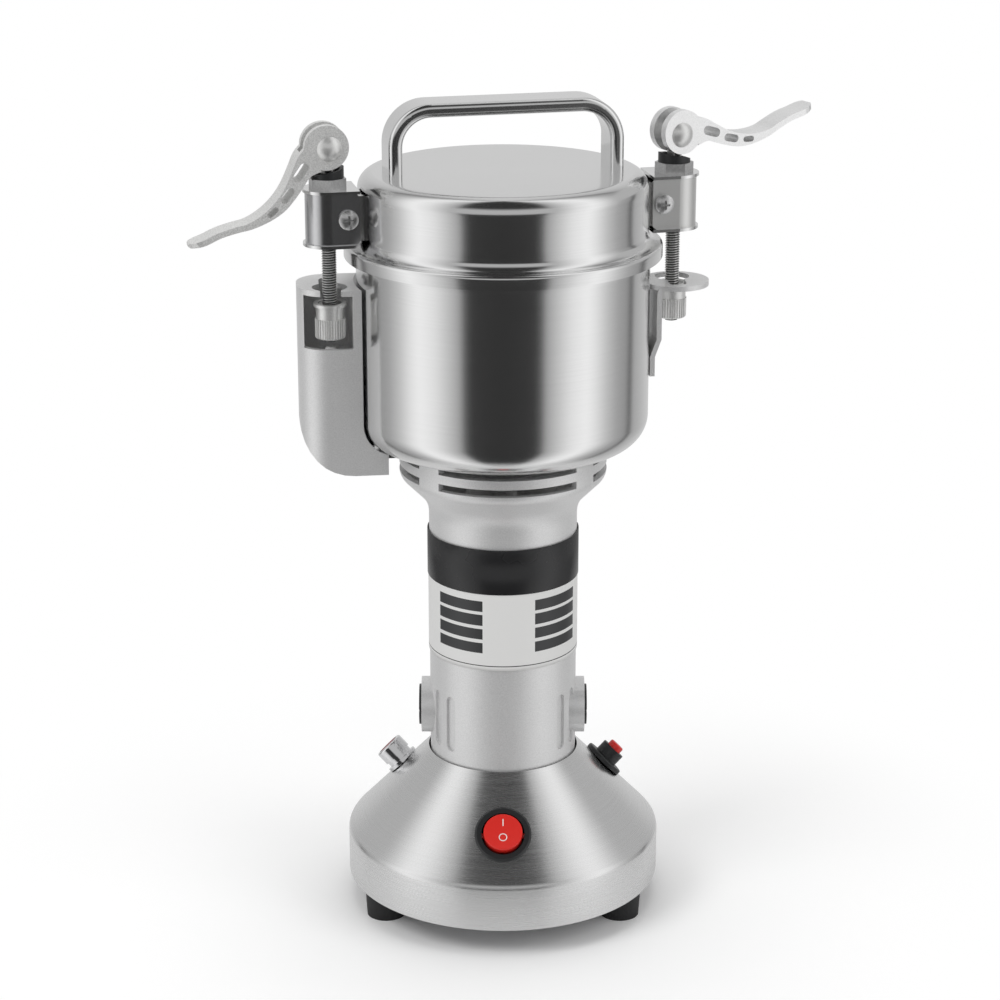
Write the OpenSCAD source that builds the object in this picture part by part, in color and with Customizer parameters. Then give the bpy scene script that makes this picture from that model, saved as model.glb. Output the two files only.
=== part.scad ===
// Electric grain mill: a bowl with a swing-over lid on a motor column and a spun steel base.
// All sizes are in millimetres, +Z is up and the origin is on the floor under the shaft axis.

/* [Feet] */
// Height of each rubber foot
foot_h = 12; // [8:0.5:20]
// Radius of a foot where it meets the base
foot_top_r = 8.8; // [7:0.2:9]
// Radius of a foot on the floor
foot_floor_r = 8; // [6:0.2:9]
// Distance from the axis to the middle of each foot
foot_circle_r = 54.6; // [46:0.2:55]

/* [Base] */
// Outer radius of the upright wall of the base
base_r = 65; // [64:0.5:80]
// Height of the upright wall up to the fold
base_wall_h = 19; // [14:0.5:30]
// Height of the cone from the fold to its opening
base_cone_h = 35.6; // [32:0.2:45]
// Radius of the rounded fold
base_fold_r = 4; // [2:0.5:6]
// Thickness of the spun sheet
base_sheet = 1.2; // [0.8:0.1:2]
// Thickness of the flat bottom plate
base_plate_t = 2; // [1.5:0.1:3]
// Inner radius of the stiffening ring inside the base
base_ring_inner_r = 47; // [46:0.5:48]

/* [Switches] */
// Distance along the radius from the axis to the power switch
switch_at_r = 49.7; // [48:0.1:51]
// Outer radius of the switch bezel
switch_bezel_r = 11.5; // [11:0.1:12]
// Radius of the switch body behind the panel
switch_body_r = 9.9; // [9.6:0.1:10.4]
// Length of the switch body behind the panel
switch_body_len = 13; // [8:0.5:14]
// Radius of the round rocker
rocker_r = 7.9; // [7:0.1:8]
// Height of the rocker face above the panel
rocker_rise = 3.8; // [3:0.1:4.5]
// Distance along the radius from the axis to the lamp and to the breaker
side_fitting_r = 44; // [43:0.2:46]
// Radius of the lamp's polished head
lamp_head_r = 6.2; // [5.5:0.1:7]
// Height of the lamp above the panel
lamp_h = 9.4; // [8:0.2:12]
// Radius of the breaker's flange
breaker_flange_r = 8.8; // [8:0.1:9.4]
// Radius of the breaker's red button
breaker_button_r = 3.25; // [2.5:0.05:4]
// Height of the breaker's neck above its flange
breaker_neck_h = 5; // [4:0.2:7]

/* [Motor housing] */
// Outer radius of the motor column
column_r = 30.2; // [29.5:0.1:30.4]
// Height of the column above the base opening
column_h = 102.9; // [96:0.5:120]
// Wall thickness of the casting
housing_wall = 2.6; // [2:0.1:3]
// Outer radius of the flange under the bowl
flange_r = 42; // [40:0.5:45]
// Height of the lower row of vents
lower_vent_h = 3.1; // [2.4:0.1:4.5]
// Height of the rib between the two rows of vents
vent_rib_h = 3.7; // [2.5:0.1:5]
// Height of the upper row of vents
upper_vent_h = 2.6; // [2.2:0.1:4]
// Angle taken by each pillar between the vents
vent_pillar_angle = 15; // [10:1:20]
// Turn of the vents and grooves about the axis
housing_turn = 3.2; // [0:0.2:6]
// Radius of the bosses that hold the brushes
boss_r = 11.6; // [11.2:0.1:13]
// Distance from the axis to the face of a brush boss
boss_reach = 33.8; // [33.5:0.1:36]
// Height of the brushes above the opening of the base
brush_rise = 17.4; // [16:0.2:30]
// Radius of the brush caps
brush_cap_r = 8.5; // [7.5:0.1:9]
// Width of the upright grooves
groove_w = 4.9; // [4:0.1:5.5]
// Depth of the upright grooves
groove_depth = 1.2; // [0.6:0.1:1.4]
// Length of the upright grooves
groove_len = 24.1; // [18:0.5:30]

/* [Label] */
// Height of the label from its lower edge to its upper edge
label_h = 51.5; // [40:0.5:55]
// Height of the dark header band
header_h = 18.8; // [14:0.2:24]
// Angle that the label wraps round the column
label_wrap = 200; // [150:5:240]

/* [Motor] */
// Radius of the shaft
shaft_r = 4; // [3.8:0.1:4.2]
// Radius of the armature
armature_r = 16; // [14:0.2:16.4]
// Height of the laminated core
core_h = 43; // [36:0.5:45]
// Radius of the commutator
commutator_r = 11; // [9:0.2:12]
// Outer radius of both bearings
bearing_r = 11; // [10.5:0.1:11.5]
// Width of both bearings
bearing_w = 7; // [6:0.1:7.4]
// Radius of the cooling fan
fan_r = 29; // [24:0.5:30]
// Number of fan vanes
fan_vanes = 9; // [7:1:13]

/* [Bowl] */
// Outer radius of the bowl
bowl_r = 58.3; // [57.8:0.1:58.6]
// Height of the bowl
bowl_h = 78.7; // [76:0.1:90]
// Outer radius of the corner round the bottom
bowl_corner_r = 12; // [9:0.5:14]
// Thickness of the bowl's sheet
bowl_sheet = 1.2; // [1:0.1:1.5]

/* [Blades] */
// Reach of the main blade from the axis
main_blade_reach = 48; // [42:0.5:50]
// Reach of the scraper blade from the axis
scraper_reach = 50; // [44:0.5:51]
// Width of the blades
blade_w = 16; // [12:0.5:17]
// Thickness of the blades
blade_t = 2.4; // [1.6:0.1:3]

/* [Lid] */
// Outer radius of the lid's rim band
lid_rim_r = 63; // [62.6:0.1:64]
// Height of the rim band
lid_rim_h = 5.4; // [5:0.1:8]
// Height of the lid's wall above the rim band
lid_wall_h = 27.7; // [26:0.1:32]
// Radius of the lid's upper edge
lid_edge_r = 6.5; // [4:0.1:8]
// Radius of the hollow where the wall meets the rim band
lid_hollow_r = 4.2; // [3.6:0.1:4.6]
// Thickness of the lid's sheet
lid_sheet = 1.2; // [1:0.1:1.4]
// How far the rim band hangs below the edge of the bowl
lid_overhang = 1.5; // [1:0.1:2.4]
// Turn of the lid, its latches and handle about the axis
lid_turn = 12.9; // [8:0.1:14]

/* [Handle] */
// Distance from the axis to the middle of each handle leg
handle_reach = 44.2; // [38:0.1:47]
// Height of the handle above the lid
handle_h = 28.5; // [26:0.5:45]
// Width of the handle strap
strap_w = 18; // [14:0.5:22]
// Thickness of the handle strap
strap_t = 5.5; // [4:0.1:7]
// Radius of the handle's bends along the middle of the strap
handle_bend_r = 14.2; // [11:0.1:18]

/* [Latches] */
// Distance from the axis to each latch rod
rod_at_r = 69.7; // [69.2:0.1:71]
// Radius of the latch rods
rod_r = 3; // [2.8:0.05:3.2]
// Width across each latch bracket
bracket_w = 18; // [17:0.1:19]
// Height of each latch bracket
bracket_h = 20; // [16:0.5:24]
// Height of the lower end of the brackets above the top of the rim band
bracket_rise = 2.7; // [2.6:0.1:5]
// Thickness of the bracket sheet
bracket_sheet = 1.5; // [1:0.1:1.8]
// Thickness of the plates that close a bracket
bracket_plate_t = 1.2; // [1:0.1:1.6]
// Width across the corners of the six-sided seat
seat_w = 15.4; // [14.6:0.1:16.2]
// Height of the six-sided seat
seat_h = 4; // [3:0.1:5]
// Height of the black cam pad at its edge
pad_h = 4.3; // [3.8:0.1:5.5]
// Radius of the hollow in the pad that the cam rides in
pad_hollow_r = 16; // [15:0.5:20]

/* [Levers] */
// Length of a lever from its pin to its tip
lever_len = 65; // [60:0.5:70]
// Width of a lever
lever_w = 11; // [10:0.1:12]
// Radius of the lever's cam
cam_r = 8.75; // [8.5:0.05:9.2]
// Offset of the cam from its pin
cam_offset = 1.2; // [1:0.05:1.25]
// Radius of the domed pin heads
pin_head_r = 4.9; // [4:0.1:5.2]
// Tilt of the left lever above the horizontal
left_tilt = -31; // [-31:1:-20]
// Tilt of the right lever above the horizontal
right_tilt = 7; // [0:1:20]
// Swivel of the left lever away from the radius
left_swivel = 1.6; // [0:0.2:4]
// Swivel of the right lever away from the radius
right_swivel = 18; // [15:0.5:26]

/* [Knurled nuts] */
// Length of a knurled nut
nut_len = 14.2; // [13:0.2:16]
// Radius of the knurled part
nut_knurl_r = 6.05; // [5.8:0.05:6.3]
// Radius of the nut's flange
nut_flange_r = 6.5; // [6.4:0.05:6.7]
// Drop from the top of the bowl to the left nut's flange
left_nut_drop = 18; // [17.4:0.1:19]
// Drop from the top of the bowl to the right nut's flange
right_nut_drop = 17.4; // [17.2:0.1:19]

/* [Bowl fittings] */
// Azimuth of the right lug
lug_turn = 8.5; // [7.5:0.5:9]
// Width of the right lug
lug_w = 27; // [26.4:0.2:30]
// Thickness of the lug's sheet
lug_t = 2; // [1.6:0.1:2.4]
// Drop from the top of the bowl to the top of the lug
lug_drop = 14.9; // [14:0.1:15.2]
// Azimuth of the interlock casting, past the left side
casting_turn = 7; // [6:0.5:8]
// Width of the interlock casting
casting_w = 30; // [29.6:0.2:33]
// Distance from the axis to the casting's outer face
casting_reach = 82; // [81.5:0.5:86]
// Drop from the top of the bowl to the top of the casting
casting_drop = 11.8; // [10:0.1:12.2]
// Radius of the casting's outer corners
casting_corner_r = 12.5; // [10:0.5:13]
// Radius of the sweep at the casting's foot
casting_sweep_r = 21; // [16:0.5:24]
// Wall thickness of the casting
casting_wall = 2.2; // [1.8:0.1:2.6]
// Width of the slot in the casting's top
casting_slot_w = 8.2; // [7:0.1:9]

/* [Hidden] */
$fn = 96;

// Clearances and small sizes that several pieces share
run_gap = 0.06;
small_gap = 0.3;
weld_gap = 0.05;
cut_over = 1;
screw_r = 2;
screw_hole_r = 2.3;
screw_head_r = 3.85;
screw_head_h = 2.4;
arc_steps = 8;
mirror_flip = 180;
quarter = 90;
circle_turn = 360;

// Colours
steel = [0.78, 0.78, 0.79];
silver_paint = [0.7, 0.7, 0.71];
black = [0.06, 0.06, 0.06];
red = [0.8, 0.08, 0.06];
dark_steel = [0.35, 0.35, 0.35];
copper = [0.72, 0.4, 0.2];

// Heights, from the floor up
base_z = foot_h;
fold_z = base_z + base_wall_h;
opening_z = fold_z + base_cone_h;
neck_z = opening_z + column_h;
flare_angle = 45;
flare_hollow_r = 12;
flare_round_r = 5;
flare_run = flange_r - column_r;
flare_straight = (flare_run - (flare_hollow_r + flare_round_r) * (1 - cos(flare_angle))) / sin(flare_angle);
flare_h = (flare_hollow_r + flare_round_r) * sin(flare_angle) + flare_straight * cos(flare_angle);
vent_z = neck_z + flare_h;
rib_z = vent_z + lower_vent_h;
upper_vent_z = rib_z + vent_rib_h;
flange_top_z = upper_vent_z + upper_vent_h;
bearing_plate_t = 2;
bowl_z = flange_top_z + bearing_plate_t;
bowl_top_z = bowl_z + bowl_h;
lid_z = bowl_top_z - lid_overhang;
rim_top_z = lid_z + lid_rim_h;
lid_top_z = rim_top_z + lid_wall_h;

// Base opening and cone
opening_gap = 0.8;
base_opening_r = column_r + opening_gap;
cone_run = base_r - base_opening_r;
cone_tilt = atan2(base_cone_h, cone_run);
function cone_z(r) = fold_z + (base_r - r) * base_cone_h / cone_run;

// Lid
rim_round_r = 1.5;
lid_wall_r = lid_rim_r - rim_round_r - lid_hollow_r;
lid_disc_r = lid_wall_r - lid_edge_r;

// Points along an arc
function arc(middle, r, from, to, steps = arc_steps) =
    [for (i = [0:steps]) middle + r * [cos(from + (to - from) * i / steps),
        sin(from + (to - from) * i / steps)]];

// Order of a list turned round
function turned(list) = [for (i = [len(list) - 1:-1:0]) list[i]];

// A bar with round ends, lying along X
module capsule(length, r, h) {
    for (s = [-1, 1]) translate([s * (length / 2 - r), 0, 0]) cylinder(r = r, h = h, center = true);
    cube([length - r * 2, r * 2, h], center = true);
}

// A ring standing on its lower face
module ring(outer_r, inner_r, h) {
    difference() {
        cylinder(r = outer_r, h = h);
        translate([0, 0, -cut_over]) cylinder(r = inner_r, h = h + cut_over * 2);
    }
}

// A pan-head screw pointing down, its head resting at z = 0
head_edge_h = 1.1;
head_dome_r = (pow(screw_head_r, 2) + pow(screw_head_h - head_edge_h, 2)) / ((screw_head_h - head_edge_h) * 2);
cross_len = 3.8;
cross_w = 0.8;
cross_depth = 1;
module pan_screw(length) {
    difference() {
        rotate_extrude() polygon(concat([[0, 0]], [[screw_head_r, 0]],
            arc([0, screw_head_h - head_dome_r], head_dome_r, acos(screw_head_r / head_dome_r), quarter)));
        for (a = [0, quarter]) rotate([0, 0, a]) translate([0, 0, screw_head_h])
            cube([cross_len, cross_w, cross_depth * 2], center = true);
    }
    translate([0, 0, -length]) cylinder(r = screw_r, h = length);
}

// Places children on the cone, +Z pointing out of it and +X down the slope
module on_cone(azimuth, r) {
    rotate([0, 0, azimuth]) translate([r, 0, cone_z(r)]) rotate([0, cone_tilt, 0]) children();
}

switch_az = -90;
lamp_az = 164;
breaker_az = 16;
panel_hole_gap = 0.2;
lamp_body_r = 4.6;
lamp_body_len = 16;
breaker_body_r = 6;
breaker_body_len = 18;
cord_az = 90;
cord_at_r = 52;
cord_hole_r = 5.5;

cone_angle = quarter - cone_tilt;
cutter_h = base_sheet * 8;
function shell_line(inset) = concat(
    [[base_r - inset, base_z]],
    arc([base_r - base_fold_r, fold_z - base_fold_r * tan(cone_angle / 2)], base_fold_r - inset, 0, cone_angle),
    [[base_opening_r, cone_z(base_opening_r) - inset / cos(cone_tilt)]]);

module base_shell() {
    color(steel) difference() {
        rotate_extrude() polygon(concat(shell_line(0), turned(shell_line(base_sheet))));
        on_cone(switch_az, switch_at_r)
            cylinder(r = switch_body_r + panel_hole_gap, h = cutter_h, center = true);
        on_cone(lamp_az, side_fitting_r)
            cylinder(r = lamp_body_r + panel_hole_gap, h = cutter_h, center = true);
        on_cone(breaker_az, side_fitting_r)
            cylinder(r = breaker_body_r + panel_hole_gap, h = cutter_h, center = true);
        on_cone(cord_az, cord_at_r) cylinder(r = cord_hole_r, h = cutter_h, center = true);
    }
}

foot_azimuths = [-153, -27, 90];
plate_top_z = base_z + base_plate_t;
base_plate_r = base_r - base_sheet - small_gap;
ring_t = 1.5;
foot_recess_share = 0.45;
nut_h = 3.2;
nut_r = 4;
post_azimuths = [90, 210, 330];
post_circle_r = 20;
post_r = 3.6;
stud_len = 7;
post_len = 39;
end_plate_z = plate_top_z + post_len;
foot_screw_len = foot_h * (1 - foot_recess_share) + base_plate_t + ring_t + nut_h + small_gap;
post_screw_depth = 8;
post_screw_len = base_plate_t + post_screw_depth;
post_hole_gap = 0.1;

module base_ring() {
    color(steel) {
        difference() {
            translate([0, 0, plate_top_z]) ring(base_r - base_sheet - weld_gap, base_ring_inner_r, ring_t);
            for (a = foot_azimuths) rotate([0, 0, a]) translate([foot_circle_r, 0, base_z])
                cylinder(r = screw_hole_r, h = foot_h);
        }
        for (a = foot_azimuths) rotate([0, 0, a]) translate([foot_circle_r, 0, plate_top_z + ring_t])
            difference() {
                cylinder(r = nut_r, h = nut_h, $fn = 6);
                translate([0, 0, -cut_over]) cylinder(r = screw_hole_r, h = nut_h + cut_over * 2);
            }
    }
}

vent_hole_r = 3;
vent_circle_r = 36;
vent_count = 12;

module base_plate() {
    color(dark_steel) difference() {
        translate([0, 0, base_z]) cylinder(r = base_plate_r, h = base_plate_t);
        for (a = foot_azimuths) rotate([0, 0, a]) translate([foot_circle_r, 0, 0])
            cylinder(r = screw_hole_r, h = foot_h * 2);
        for (a = post_azimuths) rotate([0, 0, a]) translate([post_circle_r, 0, 0])
            cylinder(r = screw_hole_r, h = foot_h * 2);
        for (i = [1:vent_count]) rotate([0, 0, circle_turn * i / vent_count])
            translate([vent_circle_r, 0, 0]) cylinder(r = vent_hole_r, h = foot_h * 2);
    }
}

module feet() {
    color(black) for (a = foot_azimuths) rotate([0, 0, a]) translate([foot_circle_r, 0, 0])
        difference() {
            cylinder(r1 = foot_floor_r, r2 = foot_top_r, h = foot_h);
            translate([0, 0, -cut_over]) cylinder(r = screw_hole_r, h = foot_h + cut_over * 2);
            translate([0, 0, -cut_over])
                cylinder(r = screw_head_r + small_gap, h = foot_h * foot_recess_share + cut_over);
        }
}

module base_screws() {
    color(steel) {
        for (a = foot_azimuths) rotate([0, 0, a])
            translate([foot_circle_r, 0, foot_h * foot_recess_share]) mirror([0, 0, 1])
                pan_screw(foot_screw_len);
        for (a = post_azimuths) rotate([0, 0, a])
            translate([post_circle_r, 0, base_z]) mirror([0, 0, 1]) pan_screw(post_screw_len);
    }
}

module motor_posts() {
    color(steel) for (a = post_azimuths) rotate([0, 0, a]) translate([post_circle_r, 0, plate_top_z]) {
        difference() {
            cylinder(r = post_r, h = post_len);
            translate([0, 0, -cut_over])
                cylinder(r = screw_r + post_hole_gap, h = post_screw_depth + small_gap + cut_over);
        }
        translate([0, 0, post_len]) cylinder(r = screw_r, h = stud_len);
    }
}

// Power switch, built with its panel at z = 0
bezel_h = 2.2;
bezel_edge = 0.8;
rocker_gap = 0.8;
bezel_seat = 0.05;
trunnion_r = 1.2;
trunnion_reach = 1.2;
rocker_pocket = 8;
rocker_depth = 5;
rocker_axis_depth = 1;
rocker_tilt = 5;
rocker_dish = 0.5;
rocker_dish_r = 60;
terminal_w = 4.8;
terminal_t = 0.8;
terminal_len = 6;
terminal_spread = 5;

module switch_body() {
    color(black) on_cone(switch_az, switch_at_r) difference() {
        union() {
            rotate_extrude() polygon([[0, -switch_body_len], [switch_body_r, -switch_body_len],
                [switch_body_r, bezel_seat], [switch_bezel_r, bezel_seat],
                    [switch_bezel_r, bezel_h - bezel_edge],
                [switch_bezel_r - bezel_edge, bezel_h], [0, bezel_h]]);
            for (s = [-1, 1]) translate([s * terminal_spread, 0, -switch_body_len - terminal_len / 2])
                cube([terminal_t, terminal_w, terminal_len], center = true);
        }
        translate([0, 0, -rocker_pocket]) cylinder(r = rocker_r + rocker_gap,
            h = rocker_pocket + bezel_h + cut_over);
        translate([0, 0, -rocker_axis_depth]) rotate([quarter, 0, 0])
            cylinder(r = trunnion_r + run_gap,
                h = (rocker_r + rocker_gap + trunnion_reach + small_gap) * 2, center = true);
    }
}

module switch_rocker() {
    color(red) on_cone(switch_az, switch_at_r) translate([0, 0, -rocker_axis_depth]) {
        rotate([0, -rocker_tilt, 0]) difference() {
            translate([0, 0, -rocker_depth / 2]) rotate_extrude() polygon(concat([[0, 0], [rocker_r, 0]],
                arc([rocker_r - bezel_edge, rocker_rise + rocker_depth / 2 + rocker_axis_depth - bezel_edge],
                    bezel_edge, 0, quarter), [[0, rocker_rise + rocker_depth / 2 + rocker_axis_depth]]));
            translate([0, 0, rocker_rise + rocker_axis_depth + rocker_dish_r - rocker_dish])
                rotate([quarter, 0, 0])
                cylinder(r = rocker_dish_r, h = rocker_r * 4, center = true);
        }
        rotate([quarter, 0, 0])
            cylinder(r = trunnion_r, h = (rocker_r + rocker_gap + trunnion_reach) * 2, center = true);
    }
}

// Pilot lamp, built with its panel at z = 0
lamp_flange_h = 1.4;
lamp_flange_extra = 0.9;
lamp_neck_h = 2.1;
lamp_neck_inset = 0.6;
lamp_lens_r = 4.6;
lamp_lens_drop = 0.9;
lamp_rim_round = 0.8;

module lamp_bezel() {
    color(steel) on_cone(lamp_az, side_fitting_r) difference() {
        rotate_extrude() polygon(concat([[0, -lamp_body_len], [lamp_body_r, -lamp_body_len],
            [lamp_body_r, bezel_seat],
            [lamp_head_r + lamp_flange_extra, bezel_seat], [lamp_head_r + lamp_flange_extra, lamp_flange_h],
            [lamp_head_r - lamp_neck_inset, lamp_flange_h], [lamp_head_r - lamp_neck_inset,
                lamp_flange_h + lamp_neck_h],
            [lamp_head_r, lamp_flange_h + lamp_neck_h]],
            arc([lamp_head_r - lamp_rim_round, lamp_h - lamp_rim_round],
                lamp_rim_round, 0, quarter), [[0, lamp_h]]));
        translate([0, 0, lamp_flange_h]) cylinder(r = lamp_lens_r + weld_gap, h = lamp_h);
    }
}

module lamp_lens() {
    color(red) on_cone(lamp_az, side_fitting_r) translate([0, 0, lamp_flange_h])
        rotate_extrude() polygon(concat([[0, 0], [lamp_lens_r, 0]],
            arc([lamp_lens_r - lamp_rim_round, lamp_h - lamp_flange_h - lamp_lens_drop - lamp_rim_round],
                lamp_rim_round, 0, quarter), [[0, lamp_h - lamp_flange_h - lamp_lens_drop]]));
}

// Overload breaker, built with its panel at z = 0
breaker_flange_h = 2;
breaker_flange_round = 0.7;
breaker_neck_r = 5.2;
breaker_button_proud = 2.5;
breaker_button_len = 9;
breaker_travel = 1.5;

module breaker_body() {
    color(black) on_cone(breaker_az, side_fitting_r) difference() {
        rotate_extrude() polygon(concat([[0, -breaker_body_len], [breaker_body_r, -breaker_body_len],
            [breaker_body_r, bezel_seat], [breaker_flange_r, bezel_seat]],
            arc([breaker_flange_r - breaker_flange_round, breaker_flange_h - breaker_flange_round],
                breaker_flange_round, 0, quarter),
            [[breaker_neck_r, breaker_flange_h], [breaker_neck_r, breaker_flange_h + breaker_neck_h],
            [0, breaker_flange_h + breaker_neck_h]]));
        translate([0, 0, breaker_flange_h + breaker_neck_h + breaker_button_proud - breaker_button_len
            - breaker_travel - small_gap])
            cylinder(r = breaker_button_r + run_gap, h = breaker_button_len * 2);
    }
}

module breaker_button() {
    color(red) on_cone(breaker_az, side_fitting_r)
        translate([0, 0, breaker_flange_h + breaker_neck_h + breaker_button_proud - breaker_button_len])
            rotate_extrude() polygon(concat([[0, 0], [breaker_button_r, 0]],
                arc([breaker_button_r - breaker_flange_round, breaker_button_len - breaker_flange_round],
                    breaker_flange_round, 0, quarter), [[0, breaker_button_len]]));
}

// Cable entry at the back, built with its panel at z = 0
grommet_bore_r = 3.5;
grommet_lip_r = 7.5;
grommet_lip_h = 2.5;
grommet_len = 12;

module cord_grommet() {
    color(black) on_cone(cord_az, cord_at_r) difference() {
        rotate_extrude() polygon([[0, -grommet_len / 2], [cord_hole_r - panel_hole_gap, -grommet_len / 2],
            [cord_hole_r - panel_hole_gap, bezel_seat], [grommet_lip_r, bezel_seat],
            [grommet_lip_r - bezel_edge, grommet_lip_h], [0, grommet_lip_h]]);
        cylinder(r = grommet_bore_r, h = grommet_len * 2, center = true);
    }
}

// Motor housing
end_plate_flange_t = 3;
column_floor_z = end_plate_z + end_plate_flange_t;
housing_bore_r = column_r - housing_wall;
brush_z = opening_z + brush_rise;
coil_h = 7;
commutator_h = 14;
core_z = brush_z + commutator_h / 2 + coil_h;
core_gap = 0.6;
stop_z = core_z + core_h + coil_h + core_gap;
stop_t = 5;
stop_r = 22;
flange_wall = 4;
flange_bore_r = flange_r - flange_wall;
boss_bore_r = 5;
cap_depth = 3;
cap_proud = 1;
pillar_half = 48;
pillar_azimuths = [-quarter - pillar_half, -quarter + pillar_half, quarter - pillar_half,
    quarter + pillar_half];
bowl_screw_circle_r = flange_r - flange_wall / 2;
groove_azimuths = [24.5, 41.5, 138.5, 155.5, 204.5, 221.5, 318.5, 335.5];
groove_floor_rise = 5;

module flare_solid(inset) {
    rotate_extrude() polygon(concat(
        [[0, column_floor_z - (inset > 0 ? cut_over : 0)], [column_r - inset,
            column_floor_z - (inset > 0 ? cut_over : 0)]],
        arc([column_r + flare_hollow_r, neck_z], flare_hollow_r + inset,
            mirror_flip, mirror_flip - flare_angle),
        arc([flange_r - flare_round_r, vent_z], flare_round_r - inset, -flare_angle, 0),
        [[flange_r - inset - (inset > 0 ? flange_wall - inset : 0), flange_top_z + (inset > 0 ? cut_over : 0)],
        [0, flange_top_z + (inset > 0 ? cut_over : 0)]]));
}

// The gaps between the pillars, as a ring with the pillars left standing
module vent_row(z, h) {
    difference() {
        translate([0, 0, z]) ring(flange_r + cut_over, flange_bore_r - flange_wall, h);
        rotate([0, 0, housing_turn]) for (a = pillar_azimuths) rotate([0, 0, a - vent_pillar_angle / 2])
            rotate_extrude(angle = vent_pillar_angle)
                translate([flange_bore_r - flange_wall - cut_over, z - cut_over])
                    square([flange_wall * 2 + cut_over * 3, h + cut_over * 2]);
    }
}

module motor_housing() {
    color(silver_paint) difference() {
        union() {
            difference() {
                flare_solid(0);
                rotate([0, 0, housing_turn]) for (a = groove_azimuths) rotate([0, 0, a])
                    translate([column_r, 0, opening_z + groove_floor_rise + groove_len / 2])
                        rotate([0, quarter, 0]) capsule(groove_len, groove_w / 2, groove_depth * 2);
            }
            translate([0, 0, brush_z]) rotate([0, quarter, 0])
                cylinder(r = boss_r, h = boss_reach * 2, center = true);
        }
        difference() {
            flare_solid(housing_wall);
            translate([0, 0, stop_z]) ring(column_r, stop_r, stop_t);
        }
        vent_row(vent_z, lower_vent_h);
        vent_row(upper_vent_z, upper_vent_h + cut_over);
        translate([0, 0, brush_z]) rotate([0, quarter, 0])
            cylinder(r = boss_bore_r, h = (boss_reach + cut_over) * 2, center = true);
        for (s = [-1, 1]) translate([s * (boss_reach + cut_over - (cap_depth + cut_over) / 2), 0, brush_z])
            rotate([0, quarter, 0]) cylinder(r = brush_cap_r, h = cap_depth + cut_over, center = true);
        rotate([0, 0, housing_turn]) for (a = pillar_azimuths) rotate([0, 0, a])
            translate([bowl_screw_circle_r, 0, rib_z]) cylinder(r = small_screw_r + post_hole_gap,
                h = flange_top_z);
    }
}

small_screw_r = 1.4;
label_gap = 0.05;
label_panel_t = 0.4;
header_extra = 0.3;
label_drop = 7.1;
label_top_z = neck_z - label_drop;
module label_plate() {
    color([0.9, 0.9, 0.9]) rotate([0, 0, -quarter - label_wrap / 2]) {
        rotate_extrude(angle = label_wrap) translate([column_r + label_gap, label_top_z - label_h])
            square([label_panel_t, label_h]);
        rotate_extrude(angle = label_wrap) translate([column_r + label_gap + label_panel_t / 2,
            label_top_z - header_h])
            square([label_panel_t / 2 + header_extra, header_h]);
    }
}

module motor_end_plate() {
    color(silver_paint) difference() {
        union() {
            translate([0, 0, end_plate_z]) cylinder(r = column_r - small_gap, h = end_plate_flange_t);
            translate([0, 0, end_plate_z]) cylinder(r = housing_bore_r - run_gap, h = end_plate_flange_t * 2);
            translate([0, 0, end_plate_z]) cylinder(r = bearing_r + housing_wall,
                h = lower_bearing_z + bearing_w - end_plate_z);
        }
        translate([0, 0, lower_bearing_z]) cylinder(r = bearing_r + run_gap, h = bearing_w + cut_over);
        translate([0, 0, end_plate_z - cut_over]) cylinder(r = shaft_r + cut_over, h = foot_h * 2);
        for (a = post_azimuths) rotate([0, 0, a]) translate([post_circle_r, 0, end_plate_z - cut_over])
            cylinder(r = screw_r + post_hole_gap, h = stud_len + small_gap + cut_over);
        for (i = [1:vent_count]) rotate([0, 0, circle_turn * (i + 1 / 2) / vent_count])
            translate([end_vent_circle_r, 0, end_plate_z - cut_over]) cylinder(r = end_vent_r, h = foot_h * 2);
    }
}

end_vent_circle_r = 24.4;
end_vent_r = 1.2;
bearing_seat = 2;
lower_bearing_z = end_plate_z + end_plate_flange_t + bearing_seat;
// Poles of the core stand on the Y axis
pole_gap = 0.6;
stator_gap = 0.06;
slot_half_angle = 38;
coil_inset = 1.2;

coil_slot_share = 0.6;

module stator() {
    color(dark_steel) translate([0, 0, core_z]) difference() {
        cylinder(r = housing_bore_r - stator_gap, h = core_h);
        translate([0, 0, -cut_over]) cylinder(r = armature_r + pole_gap, h = core_h + cut_over * 2);
        for (s = [0, mirror_flip]) rotate([0, 0, s - slot_half_angle]) translate([0, 0, -cut_over])
            rotate_extrude(angle = slot_half_angle * 2) translate([armature_r, 0])
                square([(housing_bore_r - armature_r) * coil_slot_share, core_h + cut_over * 2]);
    }
}

// Two saddles of wire, each round one pole and lying in the slots beside it
module field_windings() {
    color(copper) for (s = [0, mirror_flip]) rotate([0, 0, s]) difference() {
        rotate([0, 0, quarter - coil_half_angle]) rotate_extrude(angle = coil_half_angle * 2)
            translate([armature_r + coil_inset, core_z - coil_h + core_gap])
                square([coil_w, core_h + coil_h * 2 - core_gap * 2]);
        rotate([0, 0, quarter - coil_half_angle + coil_leg_angle])
            rotate_extrude(angle = (coil_half_angle - coil_leg_angle) * 2)
                translate([armature_r + coil_inset - cut_over, core_z - small_gap])
                    square([coil_w + cut_over * 2, core_h + small_gap * 2]);
    }
}
coil_half_angle = 78;
coil_leg_angle = 22;
coil_w = 5;

holder_r = boss_bore_r - run_gap;
brush_gap = 0.3;
holder_start_r = commutator_r + brush_gap + small_gap * 3;
brush_w = 5;
brush_len = 14;
cap_gap = 0.1;
cap_slot_w = 1.6;

module brush_holders() {
    color("goldenrod") for (s = [0, mirror_flip]) rotate([0, 0, s]) translate([holder_start_r, 0, brush_z])
        rotate([0, quarter, 0]) difference() {
            cylinder(r = holder_r, h = boss_reach - cap_depth - holder_start_r);
            cube([brush_w + cap_gap * 2, brush_w + cap_gap * 2, boss_reach * 4], center = true);
        }
}

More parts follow.
